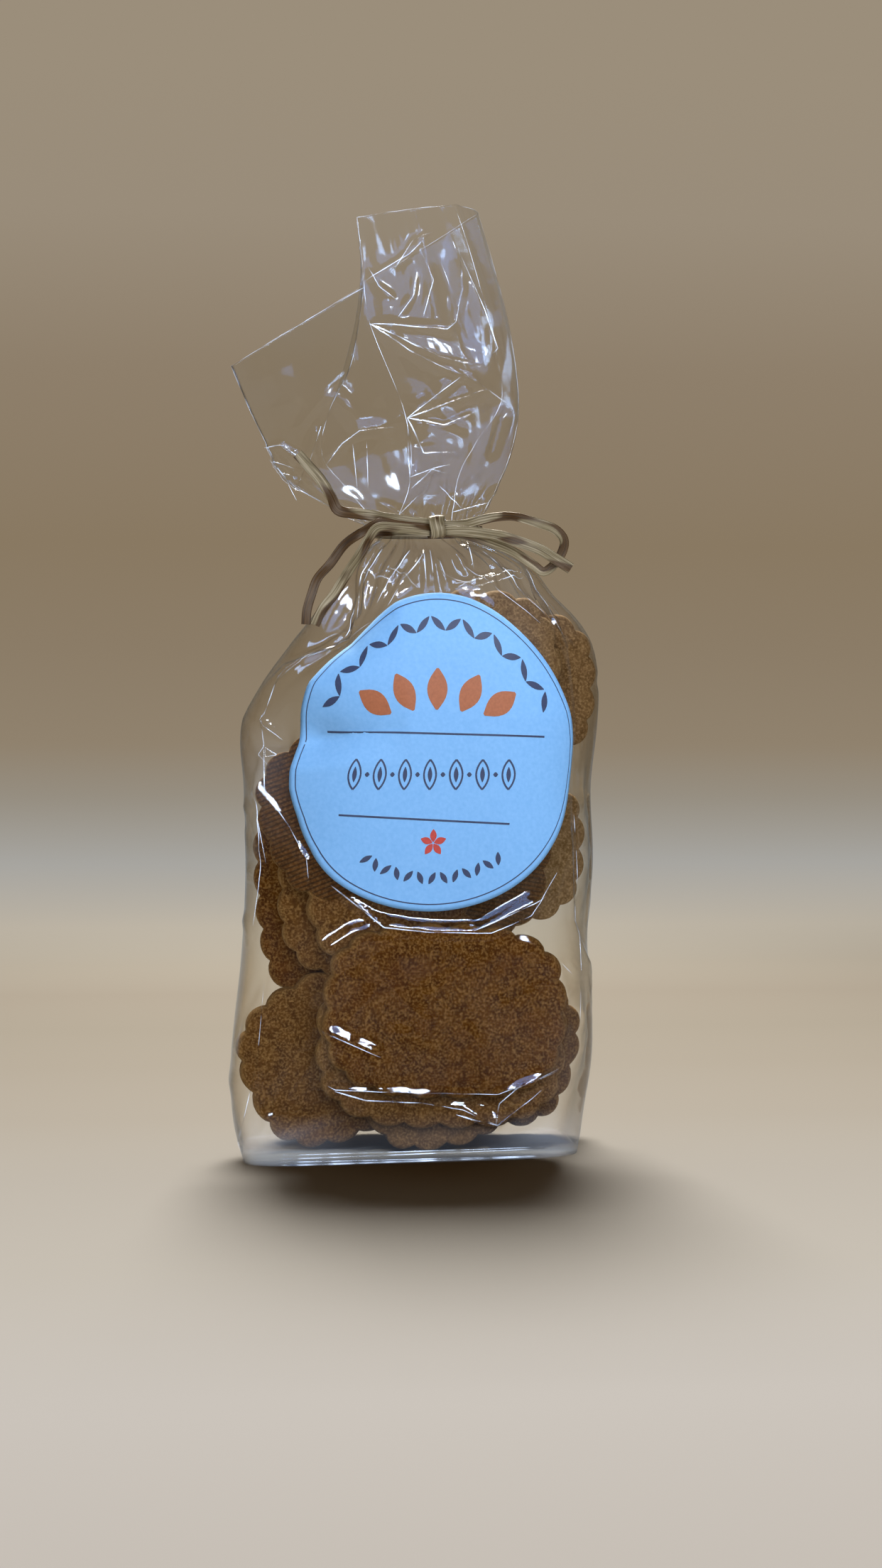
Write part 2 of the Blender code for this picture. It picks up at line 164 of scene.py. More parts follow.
def cellophane(tree, roughness, edge_on, mirror, haze_most, haze_size):
    """Cellophane, 0.03 mm thick: almost invisible face on, greyer edge on, with hard bright glints on
    its folds, and milky in patches of the haze size in millimetres, the more so on a crease."""
    place = add(tree, "ShaderNodeTexCoord").outputs["Object"]
    # The film is never quite flat: it ripples every 9 mm.
    ripple = add(tree, "ShaderNodeTexNoise", {"Vector": place, "Scale": 110.0, "Detail": 2.0})
    fine = add(tree, "ShaderNodeBump", {"Height": ripple, "Strength": 0.2, "Distance": 0.0005})
    facing = add(tree, "ShaderNodeLayerWeight", {"Blend": 0.5, "Normal": fine}).outputs["Facing"]
    # A small mirror share face on that rises steeply edge on, alike from both sides of the wall.
    steep = add(tree, "ShaderNodeMath", {0: facing, 1: 5.0}, operation="POWER")
    mirrored = add(tree, "ShaderNodeMath", {0: steep, 1: 0.75, 2: mirror}, operation="MULTIPLY_ADD")
    slanted = add(tree, "ShaderNodeMath", {0: facing, 1: 1.4}, operation="POWER")
    tint = add(tree, "ShaderNodeMix", {
        0: slanted, 6: linear("fcfcfb"), 7: linear(edge_on),
    }, data_type="RGBA")
    clear = add(tree, "ShaderNodeBsdfTransparent", {"Color": tint.outputs[2]})
    # The haze is stronger where the film lies in several layers. It is white tinted cool blue, a painted
    # sheen colour that stands in for the film's cool reflections.
    haze = add(tree, "ShaderNodeBsdfDiffuse", {"Color": linear("d6dfec")})
    patch = add(tree, "ShaderNodeTexNoise", {"Vector": place, "Scale": 1000.0 / haze_size, "Detail": 1.0})
    milky = add(tree, "ShaderNodeMapRange", {
        "Value": patch, "From Min": 0.42, "From Max": 0.66, "To Max": haze_most,
    })
    layers = add(tree, "ShaderNodeAttribute", attribute_name="layers").outputs["Fac"]
    milky = add(tree, "ShaderNodeMath", {0: milky, 1: layers}, operation="ADD")
    body = add(tree, "ShaderNodeMixShader", {"Fac": milky, 1: clear, 2: haze})
    gloss = add(tree, "ShaderNodeBsdfGlossy", {
        "Color": linear("e6f0ff"), "Roughness": roughness, "Normal": fine,
    })
    return add(tree, "ShaderNodeMixShader", {"Fac": mirrored, 1: body, 2: gloss})


def baked_sable(tree):
    """Baked butter dough: a dry golden crumb with paler grains, toasted redder in patches, a paler rim,
    and a darker underside with the ribs of the baking mat. Small pits and the low clumps of the crumb
    are darkened with painted shade, and sables deeper in shade are painted paler with painted light."""
    place = add(tree, "ShaderNodeTexCoord").outputs["Object"]
    rim, breadth, underside, painted_lift = (
        add(tree, "ShaderNodeAttribute", attribute_name=name).outputs["Fac"]
        for name in ("rim", "breadth", "underside", "pale")
    )
    # Grains of 0.7 mm, pits of 0.6 mm, clumps of 3 mm, and browning in patches of 13 mm.
    grain, pit, clump, patch = (
        add(tree, "ShaderNodeTexNoise", {"Vector": place, "Scale": scale, "Detail": detail})
        for scale, detail in ((1400.0, 3.0), (1600.0, 1.0), (330.0, 2.0), (75.0, 2.0))
    )
    pale, dark, browned = (
        add(tree, "ShaderNodeMapRange", {
            "Value": value, "From Min": low, "From Max": high, "To Max": most,
        })
        for value, low, high, most in (
            (grain, 0.44, 0.72, 0.85), (pit, 0.40, 0.28, 0.5), (patch, 0.50, 0.70, 0.6),
        )
    )

    def coated(colour, *coats):
        for share, coat in coats:
            painted = add(tree, "ShaderNodeMix", {0: share, 6: colour, 7: coat}, data_type="RGBA")
            colour = painted.outputs[2]
        return colour

    # The shadowed tone is painted shade: it lies in the pits, and in the clumps where the clump noise,
    # and so the bump, is low, over the crumb's own uneven tone.
    def crumb(shadowed, plain, bright):
        stops = ((0.35, shadowed), (0.60, plain))
        tone = add(tree, "ShaderNodeValToRGB", {"Fac": clump}, stops=stops)
        return coated(tone, (pale, linear(bright)), (dark, linear(shadowed)))

    # The ribs are 1.3 mm apart.
    turned = add(tree, "ShaderNodeMath", {0: breadth, 1: 2 * math.pi / 0.0013}, operation="MULTIPLY")
    wave = add(tree, "ShaderNodeMath", {0: turned}, operation="SINE")
    pressed = add(tree, "ShaderNodeMapRange", {
        "Value": wave, "From Min": 0.2, "From Max": -0.8, "To Max": 0.75,
    })
    ribbed = coated(crumb("40260e", "583612", "745430"), (pressed, linear("1e0e06")))
    # Painted light: sables deeper in shade or behind the film's sheen get a paler crumb mixed in.
    painted_lift_share = add(tree, "ShaderNodeMath", {0: painted_lift, 1: 0.3}, operation="MULTIPLY")
    whole = coated(
        crumb("442402", "5c3804", "9a7846"),
        (browned, crumb("44240a", "54300e", "805c38")),
        (rim, crumb("70512c", "84663c", "aa8c5a")),
        (underside, ribbed),
        (painted_lift_share, crumb("846e4a", "988462", "c0ac8c")),
    )
    rough = add(tree, "ShaderNodeMath", {0: grain, 1: clump}, operation="MULTIPLY")
    uneven = add(tree, "ShaderNodeBump", {"Height": rough, "Strength": 0.35, "Distance": 0.0006})
    return add(tree, "ShaderNodeBsdfPrincipled", {
        "Base Color": whole, "Roughness": 0.8, "Specular IOR Level": 0.15,
        "Normal": uneven,
    })


def uncoated_paper(tree):
    """Uncoated white paper, seen light blue in cool light: matt, with a faint tooth."""
    place = add(tree, "ShaderNodeTexCoord").outputs["Object"]
    # The tooth of real paper is finer: it is drawn at 1.1 mm so that it shows.
    tooth = add(tree, "ShaderNodeTexNoise", {"Vector": place, "Scale": 900.0, "Detail": 3.0})
    colour = add(tree, "ShaderNodeValToRGB", {"Fac": tooth}, stops=((0.3, "7cb9f4"), (0.7, "86c1fa")))
    bump = add(tree, "ShaderNodeBump", {"Height": tooth, "Strength": 0.15, "Distance": 0.0002})
    return add(tree, "ShaderNodeBsdfPrincipled", {
        "Base Color": colour, "Roughness": 0.7, "Normal": bump,
    })


def toner(tree, hex_colour):
    """Toner on paper: matt, and thinner in specks of 0.7 mm, where the paper shows through."""
    place = add(tree, "ShaderNodeTexCoord").outputs["Object"]
    tooth = add(tree, "ShaderNodeTexNoise", {"Vector": place, "Scale": 1400.0, "Detail": 2.0})
    full = linear(hex_colour)
    thin = (*(value * 1.5 + 0.01 for value in full[:3]), 1.0)
    worn = add(tree, "ShaderNodeMix", {0: tooth, 6: full, 7: thin}, data_type="RGBA")
    return add(tree, "ShaderNodeBsdfPrincipled", {"Base Color": worn.outputs[2], "Roughness": 0.6})


def dried_raffia(tree):
    """Dried palm raffia: flat, finely ribbed along its fibres, olive straw with dark brown stretches."""
    along, across, own, browning = (
        add(tree, "ShaderNodeAttribute", attribute_name=name).outputs["Fac"]
        for name in ("along", "across", "own", "browning")
    )
    place = add(tree, "ShaderNodeCombineXYZ", {"X": along, "Y": across, "Z": own})
    # Fibres are 0.4 mm apart, coarser than real ones so that they show, and 17 mm long, and the brown
    # stretches are 18 mm long.
    fibre_place, stretch_place = (
        add(tree, "ShaderNodeVectorMath", {0: place, 1: scales}, operation="MULTIPLY")
        for scales in ((60.0, 2400.0, 9.0), (55.0, 260.0, 17.0))
    )
    fibre, stretch = (
        add(tree, "ShaderNodeTexNoise", {"Vector": spread, "Scale": 1.0, "Detail": detail})
        for spread, detail in ((fibre_place, 3.0), (stretch_place, 1.0))
    )
    pale, brown = (
        add(tree, "ShaderNodeValToRGB", {"Fac": fibre}, stops=stops)
        for stops in (
            ((0.30, "584e38"), (0.50, "8c866e"), (0.70, "c2beae")),
            ((0.30, "281604"), (0.60, "543c1a")),
        )
    )
    stretched = add(tree, "ShaderNodeMath", {0: stretch, 1: browning}, operation="ADD")
    chosen = add(tree, "ShaderNodeMapRange", {"Value": stretched, "From Min": 0.46, "From Max": 0.53})
    colour = add(tree, "ShaderNodeMix", {0: chosen, 6: pale, 7: brown}, data_type="RGBA")
    bump = add(tree, "ShaderNodeBump", {"Height": fibre, "Strength": 0.4, "Distance": 0.0002})
    return add(tree, "ShaderNodeBsdfPrincipled", {
        "Base Color": colour.outputs[2], "Roughness": 0.45, "Specular IOR Level": 0.6,
        "Normal": bump,
    })


def linked(name, data):
    """A new object in the scene, at the origin."""
    made = bpy.data.objects.new(name, data)
    bpy.context.scene.collection.objects.link(made)
    return made


def object_from(name, points, faces, surface):
    """A new object from points in millimetres."""
    mesh = bpy.data.meshes.new(name)
    mesh.from_pydata((np.asarray(points, float) * MM).tolist(), [], faces)
    mesh.update()
    mesh.materials.append(surface)
    mesh.shade_smooth()
    return linked(name, mesh)


def store(made, values):
    """Stores named numbers with the points of a mesh: one for each point, or three as a vector."""
    for name, numbers in values.items():
        single = len(numbers) == len(made.data.vertices)
        kind, field = ("FLOAT", "value") if single else ("FLOAT_VECTOR", "vector")
        made.data.attributes.new(name, kind, "POINT").data.foreach_set(field, numbers)


def grid_faces(rows, columns, closed=False, start=0):
    """Faces between the rows of a grid of points; closed joins its last column to its first."""
    faces = []
    for row in range(rows - 1):
        for column in range(columns if closed else columns - 1):
            after = (column + 1) % columns
            low = start + row * columns
            high = low + columns
            faces.append((low + column, low + after, high + after, high + column))
    return faces


def evaluated(made):
    """The plain mesh that an object's modifiers give."""
    graph = bpy.context.evaluated_depsgraph_get()
    return bpy.data.meshes.new_from_object(made.evaluated_get(graph))


def thicken(made, thickness):
    """Gives an open sheet its thickness, half to either side."""
    wall = made.modifiers.new("Wall", "SOLIDIFY")
    wall.thickness = thickness * MM
    wall.offset = 0.0
    mesh = evaluated(made)
    made.modifiers.clear()
    made.data = mesh
    return made


def finish(made, node):
    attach(made, "root")
    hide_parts(node)


def geometry_tree(name, inputs):
    """A new Geometry Nodes tree with a geometry in and out, and named inputs: kind and value."""
    tree = bpy.data.node_groups.new(name, "GeometryNodeTree")
    tree.interface.new_socket("Geometry", in_out="INPUT", socket_type="NodeSocketGeometry")
    for label, (kind, value) in inputs.items():
        socket = tree.interface.new_socket(label, in_out="INPUT", socket_type=kind)
        if value is not None:
            socket.default_value = value
    tree.interface.new_socket("Geometry", in_out="OUTPUT", socket_type="NodeSocketGeometry")
    return tree, add(tree, "NodeGroupInput")


def roughened(tree, shape, noise, depth):
    """Moves a surface in and out along its normals by a noise, this deep between 0 and 1."""
    centred = add(tree, "ShaderNodeMath", {0: noise, 1: 0.5}, operation="SUBTRACT")
    deep = add(tree, "ShaderNodeMath", {0: centred, 1: depth}, operation="MULTIPLY")
    normal = add(tree, "GeometryNodeInputNormal")
    offset = add(tree, "ShaderNodeVectorMath", {0: normal, "Scale": deep}, operation="SCALE")
    return add(tree, "GeometryNodeSetPosition", {"Geometry": shape, "Offset": offset})


def grow(made, tree, values):
    """Runs a tree on an object with its inputs set, and leaves a plain mesh."""
    modifier = made.modifiers.new(tree.name, "NODES")
    modifier.node_group = tree
    for item in tree.interface.items_tree:
        if item.name in values:
            modifier[item.identifier] = values[item.name]
    grown = linked(made.name + "_grown", evaluated(made))
    bpy.data.objects.remove(made)
    return grown


def spline(points, place):
    """The point at place, from 0 to 1, of a smooth curve through the points."""
    last = len(points) - 1
    whole = min(int(place * last), last - 1)
    part = place * last - whole
    before, start, end, after = (
        Vector(points[min(max(whole + step, 0), last)]) for step in (-1, 0, 1, 2)
    )
    return 0.5 * (
        2 * start
        + (end - before) * part
        + (2 * before - 5 * start + 4 * end - after) * part**2
        + (3 * start - before - 3 * end + after) * part**3
    )


def rising(value, start, span, most=1.0):
    """Goes from 0 at a start to 1 over a span, and no further than most."""
    return np.clip((value - start) / span, 0, most)


# The sables

def sable_rim():
    """Points round a sable, even along its length, and their outward directions, in its own plane."""
    turn = np.linspace(0, 2 * np.pi, 4001)
    reach = (np.abs(2 * np.cos(turn) / SABLE_LENGTH) ** SABLE_POWER
             + np.abs(2 * np.sin(turn) / SABLE_WIDTH) ** SABLE_POWER) ** (-1 / SABLE_POWER)
    x, z = reach * np.cos(turn), reach * np.sin(turn)
    walked = np.concatenate([[0], np.cumsum(np.hypot(np.diff(x), np.diff(z)))])
    count = SCALLOPS * STEPS_PER_SCALLOP
    wanted = np.arange(count) * walked[-1] / count
    rim = np.column_stack([np.interp(wanted, walked, x), np.interp(wanted, walked, z)])
    ahead = np.roll(rim, -1, 0) - np.roll(rim, 1, 0)
    outward = np.column_stack([ahead[:, 1], -ahead[:, 0]]) / np.linalg.norm(ahead, axis=1)[:, None]
    return rim, outward


def make_sable(surface):
    """One sable lying in the XZ plane, its upper face towards -Y, with scalloped rounded rims."""
    rim, outward = sable_rim()
    count = len(rim)
    half = SABLE_THICKNESS / 2
    waves = np.abs(np.sin(np.pi * np.arange(count) / STEPS_PER_SCALLOP))
    dips = SCALLOP_DEPTH * (1 - waves ** SCALLOP_ROUNDNESS)
    # Inset from the rim, depth, how far the colour is that of the side, and of the underside.
    edge = (
        (FACE_INSET, CROWN - half, 0.0, 0), (2.0, 0.35 - half, 0.0, 0), (1.1, 0.75 - half, 0.3, 0),
        (0.45, 1.4 - half, 0.8, 0), (0.1, 2.3 - half, 1.0, 0), (0.0, 0.0, 1.0, 0),
        (0.0, half - 2.4, 1.0, 0), (0.1, half - 1.2, 0.9, 0.2), (0.5, half - 0.5, 0.4, 0.7),
        (1.3, half - 0.1, 0, 1), (FACE_INSET, half, 0, 1),
    )
    rings = [(share, FACE_INSET, CROWN * share**4 - half, 0, 0) for share in FACE_RINGS]
    rings += [(1.0, *ring) for ring in edge]
    rings += [(share, FACE_INSET, half, 0, 1) for share in reversed(FACE_RINGS)]
    points, side, under = [], [], []
    for share, inset, depth, side_colour, under_colour in rings:
        fade = max(0.0, 1 - inset / SCALLOP_INSET)
        ring = (rim - outward * (inset + dips * fade)[:, None]) * share
        points += [(x, depth, z) for x, z in ring]
        side += [side_colour] * count
        under += [under_colour] * count
    faces = grid_faces(len(rings), count, closed=True)
    points += [(0, -half, 0), (0, half, 0)]
    side += [0, 0]
    under += [0, 1]
    last = (len(rings) - 1) * count
    for step in range(count):
        after = (step + 1) % count
        faces.append((len(points) - 2, after, step))
        faces.append((len(points) - 1, last + step, last + after))
    made = object_from("one_sable", points, faces, surface)
    store(made, {"rim": side, "underside": under, "breadth": [z * MM for _, _, z in points]})
    return made


def sable_tree(surface):
    """Instances of one sable on points that hold their turn and size, made uneven as baked dough is."""
    tree, inputs = geometry_tree("Sables", {
        "Sable": ("NodeSocketObject", None),
        "Unevenness": ("NodeSocketFloat", 0.0),
        "Swell Size": ("NodeSocketFloat", 1.0),
        "Crumb Depth": ("NodeSocketFloat", 0.0),
        "Crumb Size": ("NodeSocketFloat", 1.0),
    })
    sable = add(tree, "GeometryNodeObjectInfo", {"Object": inputs.outputs["Sable"]})
    turn, size = (
        add(tree, "GeometryNodeInputNamedAttribute", {"Name": name}, data_type="FLOAT_VECTOR")
        for name in ("turn", "size")
    )
    rotation = add(tree, "FunctionNodeEulerToRotation", {"Euler": turn})
    placed = add(tree, "GeometryNodeInstanceOnPoints", {
        "Points": inputs.outputs["Geometry"], "Instance": sable.outputs["Geometry"],
        "Rotation": rotation, "Scale": size,
    })
    shape = add(tree, "GeometryNodeRealizeInstances", {"Geometry": placed})
    for depth, wide in (("Unevenness", "Swell Size"), ("Crumb Depth", "Crumb Size")):
        scale = add(tree, "ShaderNodeMath", {0: 1.0, 1: inputs.outputs[wide]}, operation="DIVIDE")
        swell = add(tree, "ShaderNodeTexNoise", {"Scale": scale, "Detail": 2.0})
        shape = roughened(tree, shape, swell, inputs.outputs[depth])
    painted = add(tree, "GeometryNodeSetMaterial", {"Geometry": shape, "Material": surface})
    add(tree, "NodeGroupOutput", {"Geometry": painted})
    return tree


def make_sables():
    """All sables as one mesh. They swell by up to 0.4 mm over 16 mm, and their crumb is 2 mm wide."""
    dough = material("baked_sable", baked_sable)
    sable = make_sable(dough)
    mesh = bpy.data.meshes.new("places")
    mesh.from_pydata([Vector(place[:3]) * MM for place in SABLES], [], [])
    turns, sizes = [], []
    draw = random.Random(4)
    for _, _, _, spin, lean, turn, size, _ in SABLES:
        turned = (
            Matrix.Rotation(math.radians(turn), 4, "Z")
            @ Matrix.Rotation(math.radians(lean), 4, "X")
            @ Matrix.Rotation(math.radians(spin), 4, "Y")
        )
        turns += list(turned.to_euler("XYZ"))
        length, thickness, width = (
            draw.uniform(least, most) for least, most in ((0.99, 1.005), (0.93, 0.98), (0.99, 1.005))
        )
        sizes += [size * length, thickness, size * width]
    places = linked("places", mesh)
    # The pale share of each sable is painted light that lifts its crumb where it sits in shade.
    store(places, {"pale": [place[7] for place in SABLES], "turn": turns, "size": sizes})
    grown = grow(places, sable_tree(dough), {
        "Sable": sable, "Unevenness": 0.8 * MM, "Swell Size": 16.0 * MM,
        "Crumb Depth": 0.25 * MM, "Crumb Size": 2.0 * MM,
    })
    grown.name = "sables"
    bpy.data.objects.remove(sable)
    return grown


# The film

def level(height):
    """The six sizes of the film's outline at a height, on a smooth curve through the levels."""
    last = len(LEVELS) - 1
    row = 0
    while row < last - 1 and height > LEVELS[row + 1][0]:
        row += 1
    before, low, high, after = (LEVELS[min(max(row + step, 0), last)] for step in (-1, 0, 1, 2))
    gap = high[0] - low[0]
    part = min(max((height - low[0]) / gap, 0), 1)
    sizes = []
    for earlier, start, end, later in zip(before[1:], low[1:], high[1:], after[1:]):
        slope_in = (end - earlier) / (high[0] - before[0]) * gap
        slope_out = (later - start) / (after[0] - low[0]) * gap
        sizes.append(
            (2 * part**3 - 3 * part**2 + 1) * start
            + (part**3 - 2 * part**2 + part) * slope_in
            + (3 * part**2 - 2 * part**3) * end
            + (part**3 - part**2) * slope_out
        )
    return sizes


def film_row(along, height):
    """Points of the film at one height: along runs round the bag from the middle of its front."""
    left, right, front, back, left_power, right_power = level(height)
    along = np.asarray(along) % ROUND
    stops = (0, HALF_WIDTH, HALF_WIDTH + 2 * HALF_DEPTH, 3 * HALF_WIDTH + 2 * HALF_DEPTH,
             3 * HALF_WIDTH + 4 * HALF_DEPTH, ROUND)
    across = np.interp(along, stops, (0, 1, 1, -1, -1, 0))
    deep = np.interp(along, stops, (-1, -1, 1, 1, -1, -1))
    power = np.where(across < 0, left_power, right_power)
    reach = (np.abs(across) ** power + np.abs(deep) ** power) ** (-1 / power)
    middle = (left + right) / 2
    x = middle + across * reach * (right - left) / 2
    y = (front + back) / 2 + deep * reach * (back - front) / 2
    y = y + BASE_SKEW * (x - middle) * max(0, 1 - height / SKEW_ENDS)
    away = np.hypot(x - DENT_AT[0], height - DENT_AT[1]) / DENT_SIZE
    y = y + np.where(deep < 0, DENT_DEPTH * np.exp(-away * away), 0)
    return np.column_stack([x, y, np.full_like(x, height)])


def grid_normals(points):
    """Directions out of a closed grid of points whose rows rise and whose columns run anticlockwise."""
    beside = np.roll(points, -1, 1) - np.roll(points, 1, 1)
    normals = np.cross(beside, np.gradient(points, axis=0))
    return normals / np.maximum(np.linalg.norm(normals, axis=2, keepdims=True), 1e-9)


# The share of its height that a fold keeps at its ends, and how fast it gains the rest.
FOLD_END = 0.2
FOLD_FADE = 5


def ridge(across, up, path, height, above, below):
    """How far one fold of the film stands out at each point: it follows a path, and its two sides
    fall away over their own widths, above on the left of the way along the path."""
    nearest = np.full(across.shape, np.inf)
    raised = np.zeros(across.shape)
    spans = [math.dist(start, end) for start, end in zip(path, path[1:])]
    whole = sum(spans)
    walked = 0.0
    for (x0, z0), (x1, z1), span in zip(path, path[1:], spans):
        dx, dz = (x1 - x0) / span, (z1 - z0) / span
        step = np.clip((across - x0) * dx + (up - z0) * dz, 0, span)
        off_x, off_z = across - x0 - dx * step, up - z0 - dz * step
        away = np.hypot(off_x, off_z)
        width = np.where(dx * off_z - dz * off_x > 0, above, below)
        place = (walked + step) / whole
        fade = np.minimum(1, FOLD_END + FOLD_FADE * np.minimum(place, 1 - place))
        raised = np.where(away < nearest, height * fade * np.maximum(0, 1 - away / width), raised)
        nearest = np.minimum(nearest, away)
        walked += span
    return raised


# Folds of the film in front, as seen from the front: path in x and z, height, width above and below.
FRONT_FOLDS = (
    # under the label
    (((-24, 80), (-9, 68.2), (4, 66.7), (22, 66.3), (34, 71), (42, 83)), 1.5, 3.2, 1.4),
    (((-23, 80), (-11, 73), (6.5, 71.4), (19, 70.6), (28, 76), (42, 83.2)), -0.9, 1.2, 3.0),
    (((17, 67), (38, 76)), 1.9, 5.0, 1.5),
    # under the front sable
    (((-25, 23), (-23, 21.9), (4, 20.5), (24, 19.7), (42, 26)), 0.56, 1.6, 1.6),
    (((-23, 21.5), (-14, 18.9), (1.4, 18), (14, 15.6), (24, 10.9)), 1.7, 3.2, 1.6),
    (((12, 14), (24, 11), (37, 20.5)), 1.9, 4.2, 2.0),
    (((23.5, 11.5), (24.5, 17), (29.5, 21.5), (42, 26.5)), 1.1, 1.4, 2.8),
    # beside the front sable
    (((-26.5, 38.5), (-10, 31)), 1.4, 3.2, 1.5),
    (((43, 57), (47, 53)), 0.9, 2.5, 1.5),
    # a fan that rises from the lower left corner
    (((-51, 4), (-45, 30), (-43, 52)), 0.6, 2.5, 2.5),
    # left of the label and over the shoulder
    (((-43, 135), (-31, 147), (-22, 154.6), (-12, 157.6)), 1.4, 2.2, 2.6),
    (((-46, 132), (-37, 144), (-27, 152), (-21, 160)), 1.2, 1.6, 2.0),
    (((-43, 119), (-42.9, 107), (-36, 97), (-31, 87.7), (-30.4, 82)), 1.4, 1.6, 2.4),
    (((-49, 105), (-44.7, 98), (-42.4, 86)), 1.0, 1.6, 2.4),
    (((-46.3, 131.5), (-43, 126), (-37.5, 122)), 1.3, 1.6, 2.2),
    (((-47.3, 129), (-46.7, 120), (-41.6, 114)), 1.1, 1.8, 2.0),
    (((-42.6, 119.7), (-39.2, 117.3), (-42.6, 116.8), (-42.6, 119.7)), 1.0, 1.0, 1.0),
    (((-34, 146), (-25, 152)), 1.0, 1.4, 2.0),
    (((-26, 165), (-15, 158)), 0.8, 1.5, 1.5),
    (((-30, 156), (-18, 161)), 0.6, 1.5, 3.0),
    (((16, 172), (30, 163), (38, 158)), 0.6, 1.5, 3.2),
    (((10, 170), (24, 163)), 0.5, 1.5, 3.0),
    (((-6, 172), (2, 166)), 0.5, 1.5, 3.0),
    (((-47, 100), (-48.5, 81), (-49.2, 68)), 1.0, 1.5, 1.5),
    (((48, 100), (50, 70), (49, 40)), 0.9, 1.5, 2.5),
    (((-14, 173), (-22.6, 161.5)), 1.1, 1.6, 2.0),
    (((-14, 173), (-5.6, 167.3), (-4, 169.5)), 1.1, 1.6, 1.2),
    (((-14, 173), (-15.5, 161.7)), 1.3, 1.8, 1.2),
    (((4, 176), (-7, 161.5)), 1.3, 2.0, 1.6),
    (((0, 177), (-10, 163)), 1.2, 1.5, 1.5),
    (((4, 178), (4.2, 164)), 1.3, 1.5, 1.5),
    (((6, 178), (6.6, 164)), 1.0, 1.0, 1.2),
    (((8, 176), (11, 165)), 1.0, 1.2, 1.8),
    (((-8, 181), (-19, 171), (-26, 161)), 1.2, 1.6, 1.6),
    (((-6, 180), (-17, 165)), 1.1, 1.5, 1.5),
    (((-27, 158), (-19.5, 162.5), (-21, 157)), 1.1, 1.4, 1.4),
    (((14, 164), (27, 169), (34, 171)), 1.5, 1.6, 2.2),
    (((32, 176), (41, 166), (47, 155)), 1.2, 1.6, 2.4),
    (((43, 161), (47.5, 155.5)), 1.2, 1.2, 1.6),
    (((13, 166), (22, 169), (33, 173)), 1.3, 2.0, 1.4),
    (((17.5, 181), (18.5, 172)), 1.0, 1.8, 1.5),
    (((22, 178), (34, 165), (44, 158)), 1.0, 2.0, 2.5),
)
# Soft waves, without a crease line.
FRONT_WAVES = (
    (((-51, 2), (-38, 16), (-31, 30)), 0.8, 2.5, 4.0),
    (((-50, 1), (-28, 11), (-14, 15)), 0.9, 2.5, 3.5),
    (((-39, 13.5), (-25, 20)), 1.2, 3.2, 4.0),
    (((-27, 61), (-18, 67), (-8, 70)), 1.5, 2.5, 8.0),
)
# The film's grid, whose columns are closer together in front.
FILM_COLUMNS = 236
FILM_ROWS = 186
FRONT_COLUMNS = slice(FILM_COLUMNS // 4, 3 * FILM_COLUMNS // 4)
FRONT_CROWDING = 0.35
# Thicker than the real film, so that its two faces stay apart.
FILM_THICKNESS = 0.1
# The film keeps this gap to the sables, which are looked for this far in and out of its plain shape.
FILM_GAP = 0.35
FILM_REACH = 16.0
# How strongly it is pulled back to that shape, and how many times it is evened.
FILM_SLACK = 0.004
FILM_RELAXINGS = 260
# Its lowest place, its first row, and where the tie holds it.
FILM_FOOT = 0.1
FIRST_ROW = 0.15
TOP_OF_BODY = 186.0
# Folds grow to their height over this much of the film, and end this far off the label.
FOLDS_START = 6.0
LABEL_MARGIN = 3.0
# The right side swells: by how much, at what height, and how far up and down.
SIDE_SWELL = (2.4, 50, 32)
# Patches where the film is painted milkier, standing in for soft reflections of the lights, a painted
# sheen: x and height, half width and half height, and how much.
PAINTED_SHEEN_PATCHES = ((-42, 112, 7, 12, 0.005), (30, 150, 10, 9, 0.003), (46, 24, 7, 16, 0.004))
# The small folds all round: how many, where up the bag, how far they lean, and their sizes.
SCATTERED_FOLDS = 70
SCATTERED_BETWEEN = (4, 165)
SCATTERED_LEAN = 0.7
SCATTERED_LENGTHS = (8, 36)
SCATTERED_HEIGHTS = (0.25, 0.7)
SCATTERED_WIDTHS = (1.5, 5)
# The pleats at the tie: how many, where they die out, how high, how far they drift, how wide.
PLEATS = 26
PLEAT_FEET = (146, 168)
PLEAT_HEIGHTS = (0.6, 1.5)
PLEAT_DRIFT = (-6, 6)
PLEAT_WIDTH = 5.5


def rest_on(points, normals, tree):
    """How far each point has to move outwards to clear what the film lies on."""
    needed = np.full(points.shape[:2], -np.inf)
    for row in range(points.shape[0]):
        for column in range(points.shape[1]):
            out = Vector(normals[row, column])
            start = Vector(points[row, column]) + out * FILM_REACH
            place, _, _, far = tree.ray_cast(start * MM, -out, 2 * FILM_REACH * MM)
            if place is not None:
                needed[row, column] = FILM_REACH - far / MM + FILM_GAP
    return needed


def relax(needed):
    """A film drawn tight over what it lies on, and pulled back to its own shape elsewhere."""
    drawn = np.maximum(needed, 0)
    for _ in range(FILM_RELAXINGS):
        ends = np.concatenate([drawn[:1], drawn, drawn[-1:]])
        around = (ends[:-2] + ends[2:] + np.roll(drawn, 1, 1) + np.roll(drawn, -1, 1)) / 4
        drawn = np.maximum(needed, around * (1 - FILM_SLACK))
    return drawn


def scattered_folds(draw):
    """Small folds all round, mostly upright: path along the film and up, height and widths."""
    folds = []
    for _ in range(SCATTERED_FOLDS):
        along = draw.uniform(0, ROUND)
        up = draw.uniform(*SCATTERED_BETWEEN)
        lean = draw.gauss(0, SCATTERED_LEAN)
        length = draw.uniform(*SCATTERED_LENGTHS)
        end = (along + math.sin(lean) * length, up + math.cos(lean) * length)
        bend = ((along + end[0]) / 2 + draw.uniform(-3, 3), (up + end[1]) / 2 + draw.uniform(-2, 2))
        height = draw.uniform(*SCATTERED_HEIGHTS) * draw.choice((-1, 1, 1))
        widths = draw.uniform(*SCATTERED_WIDTHS), draw.uniform(*SCATTERED_WIDTHS)
        folds.append((((along, up), bend, end), height, *widths))
    return folds


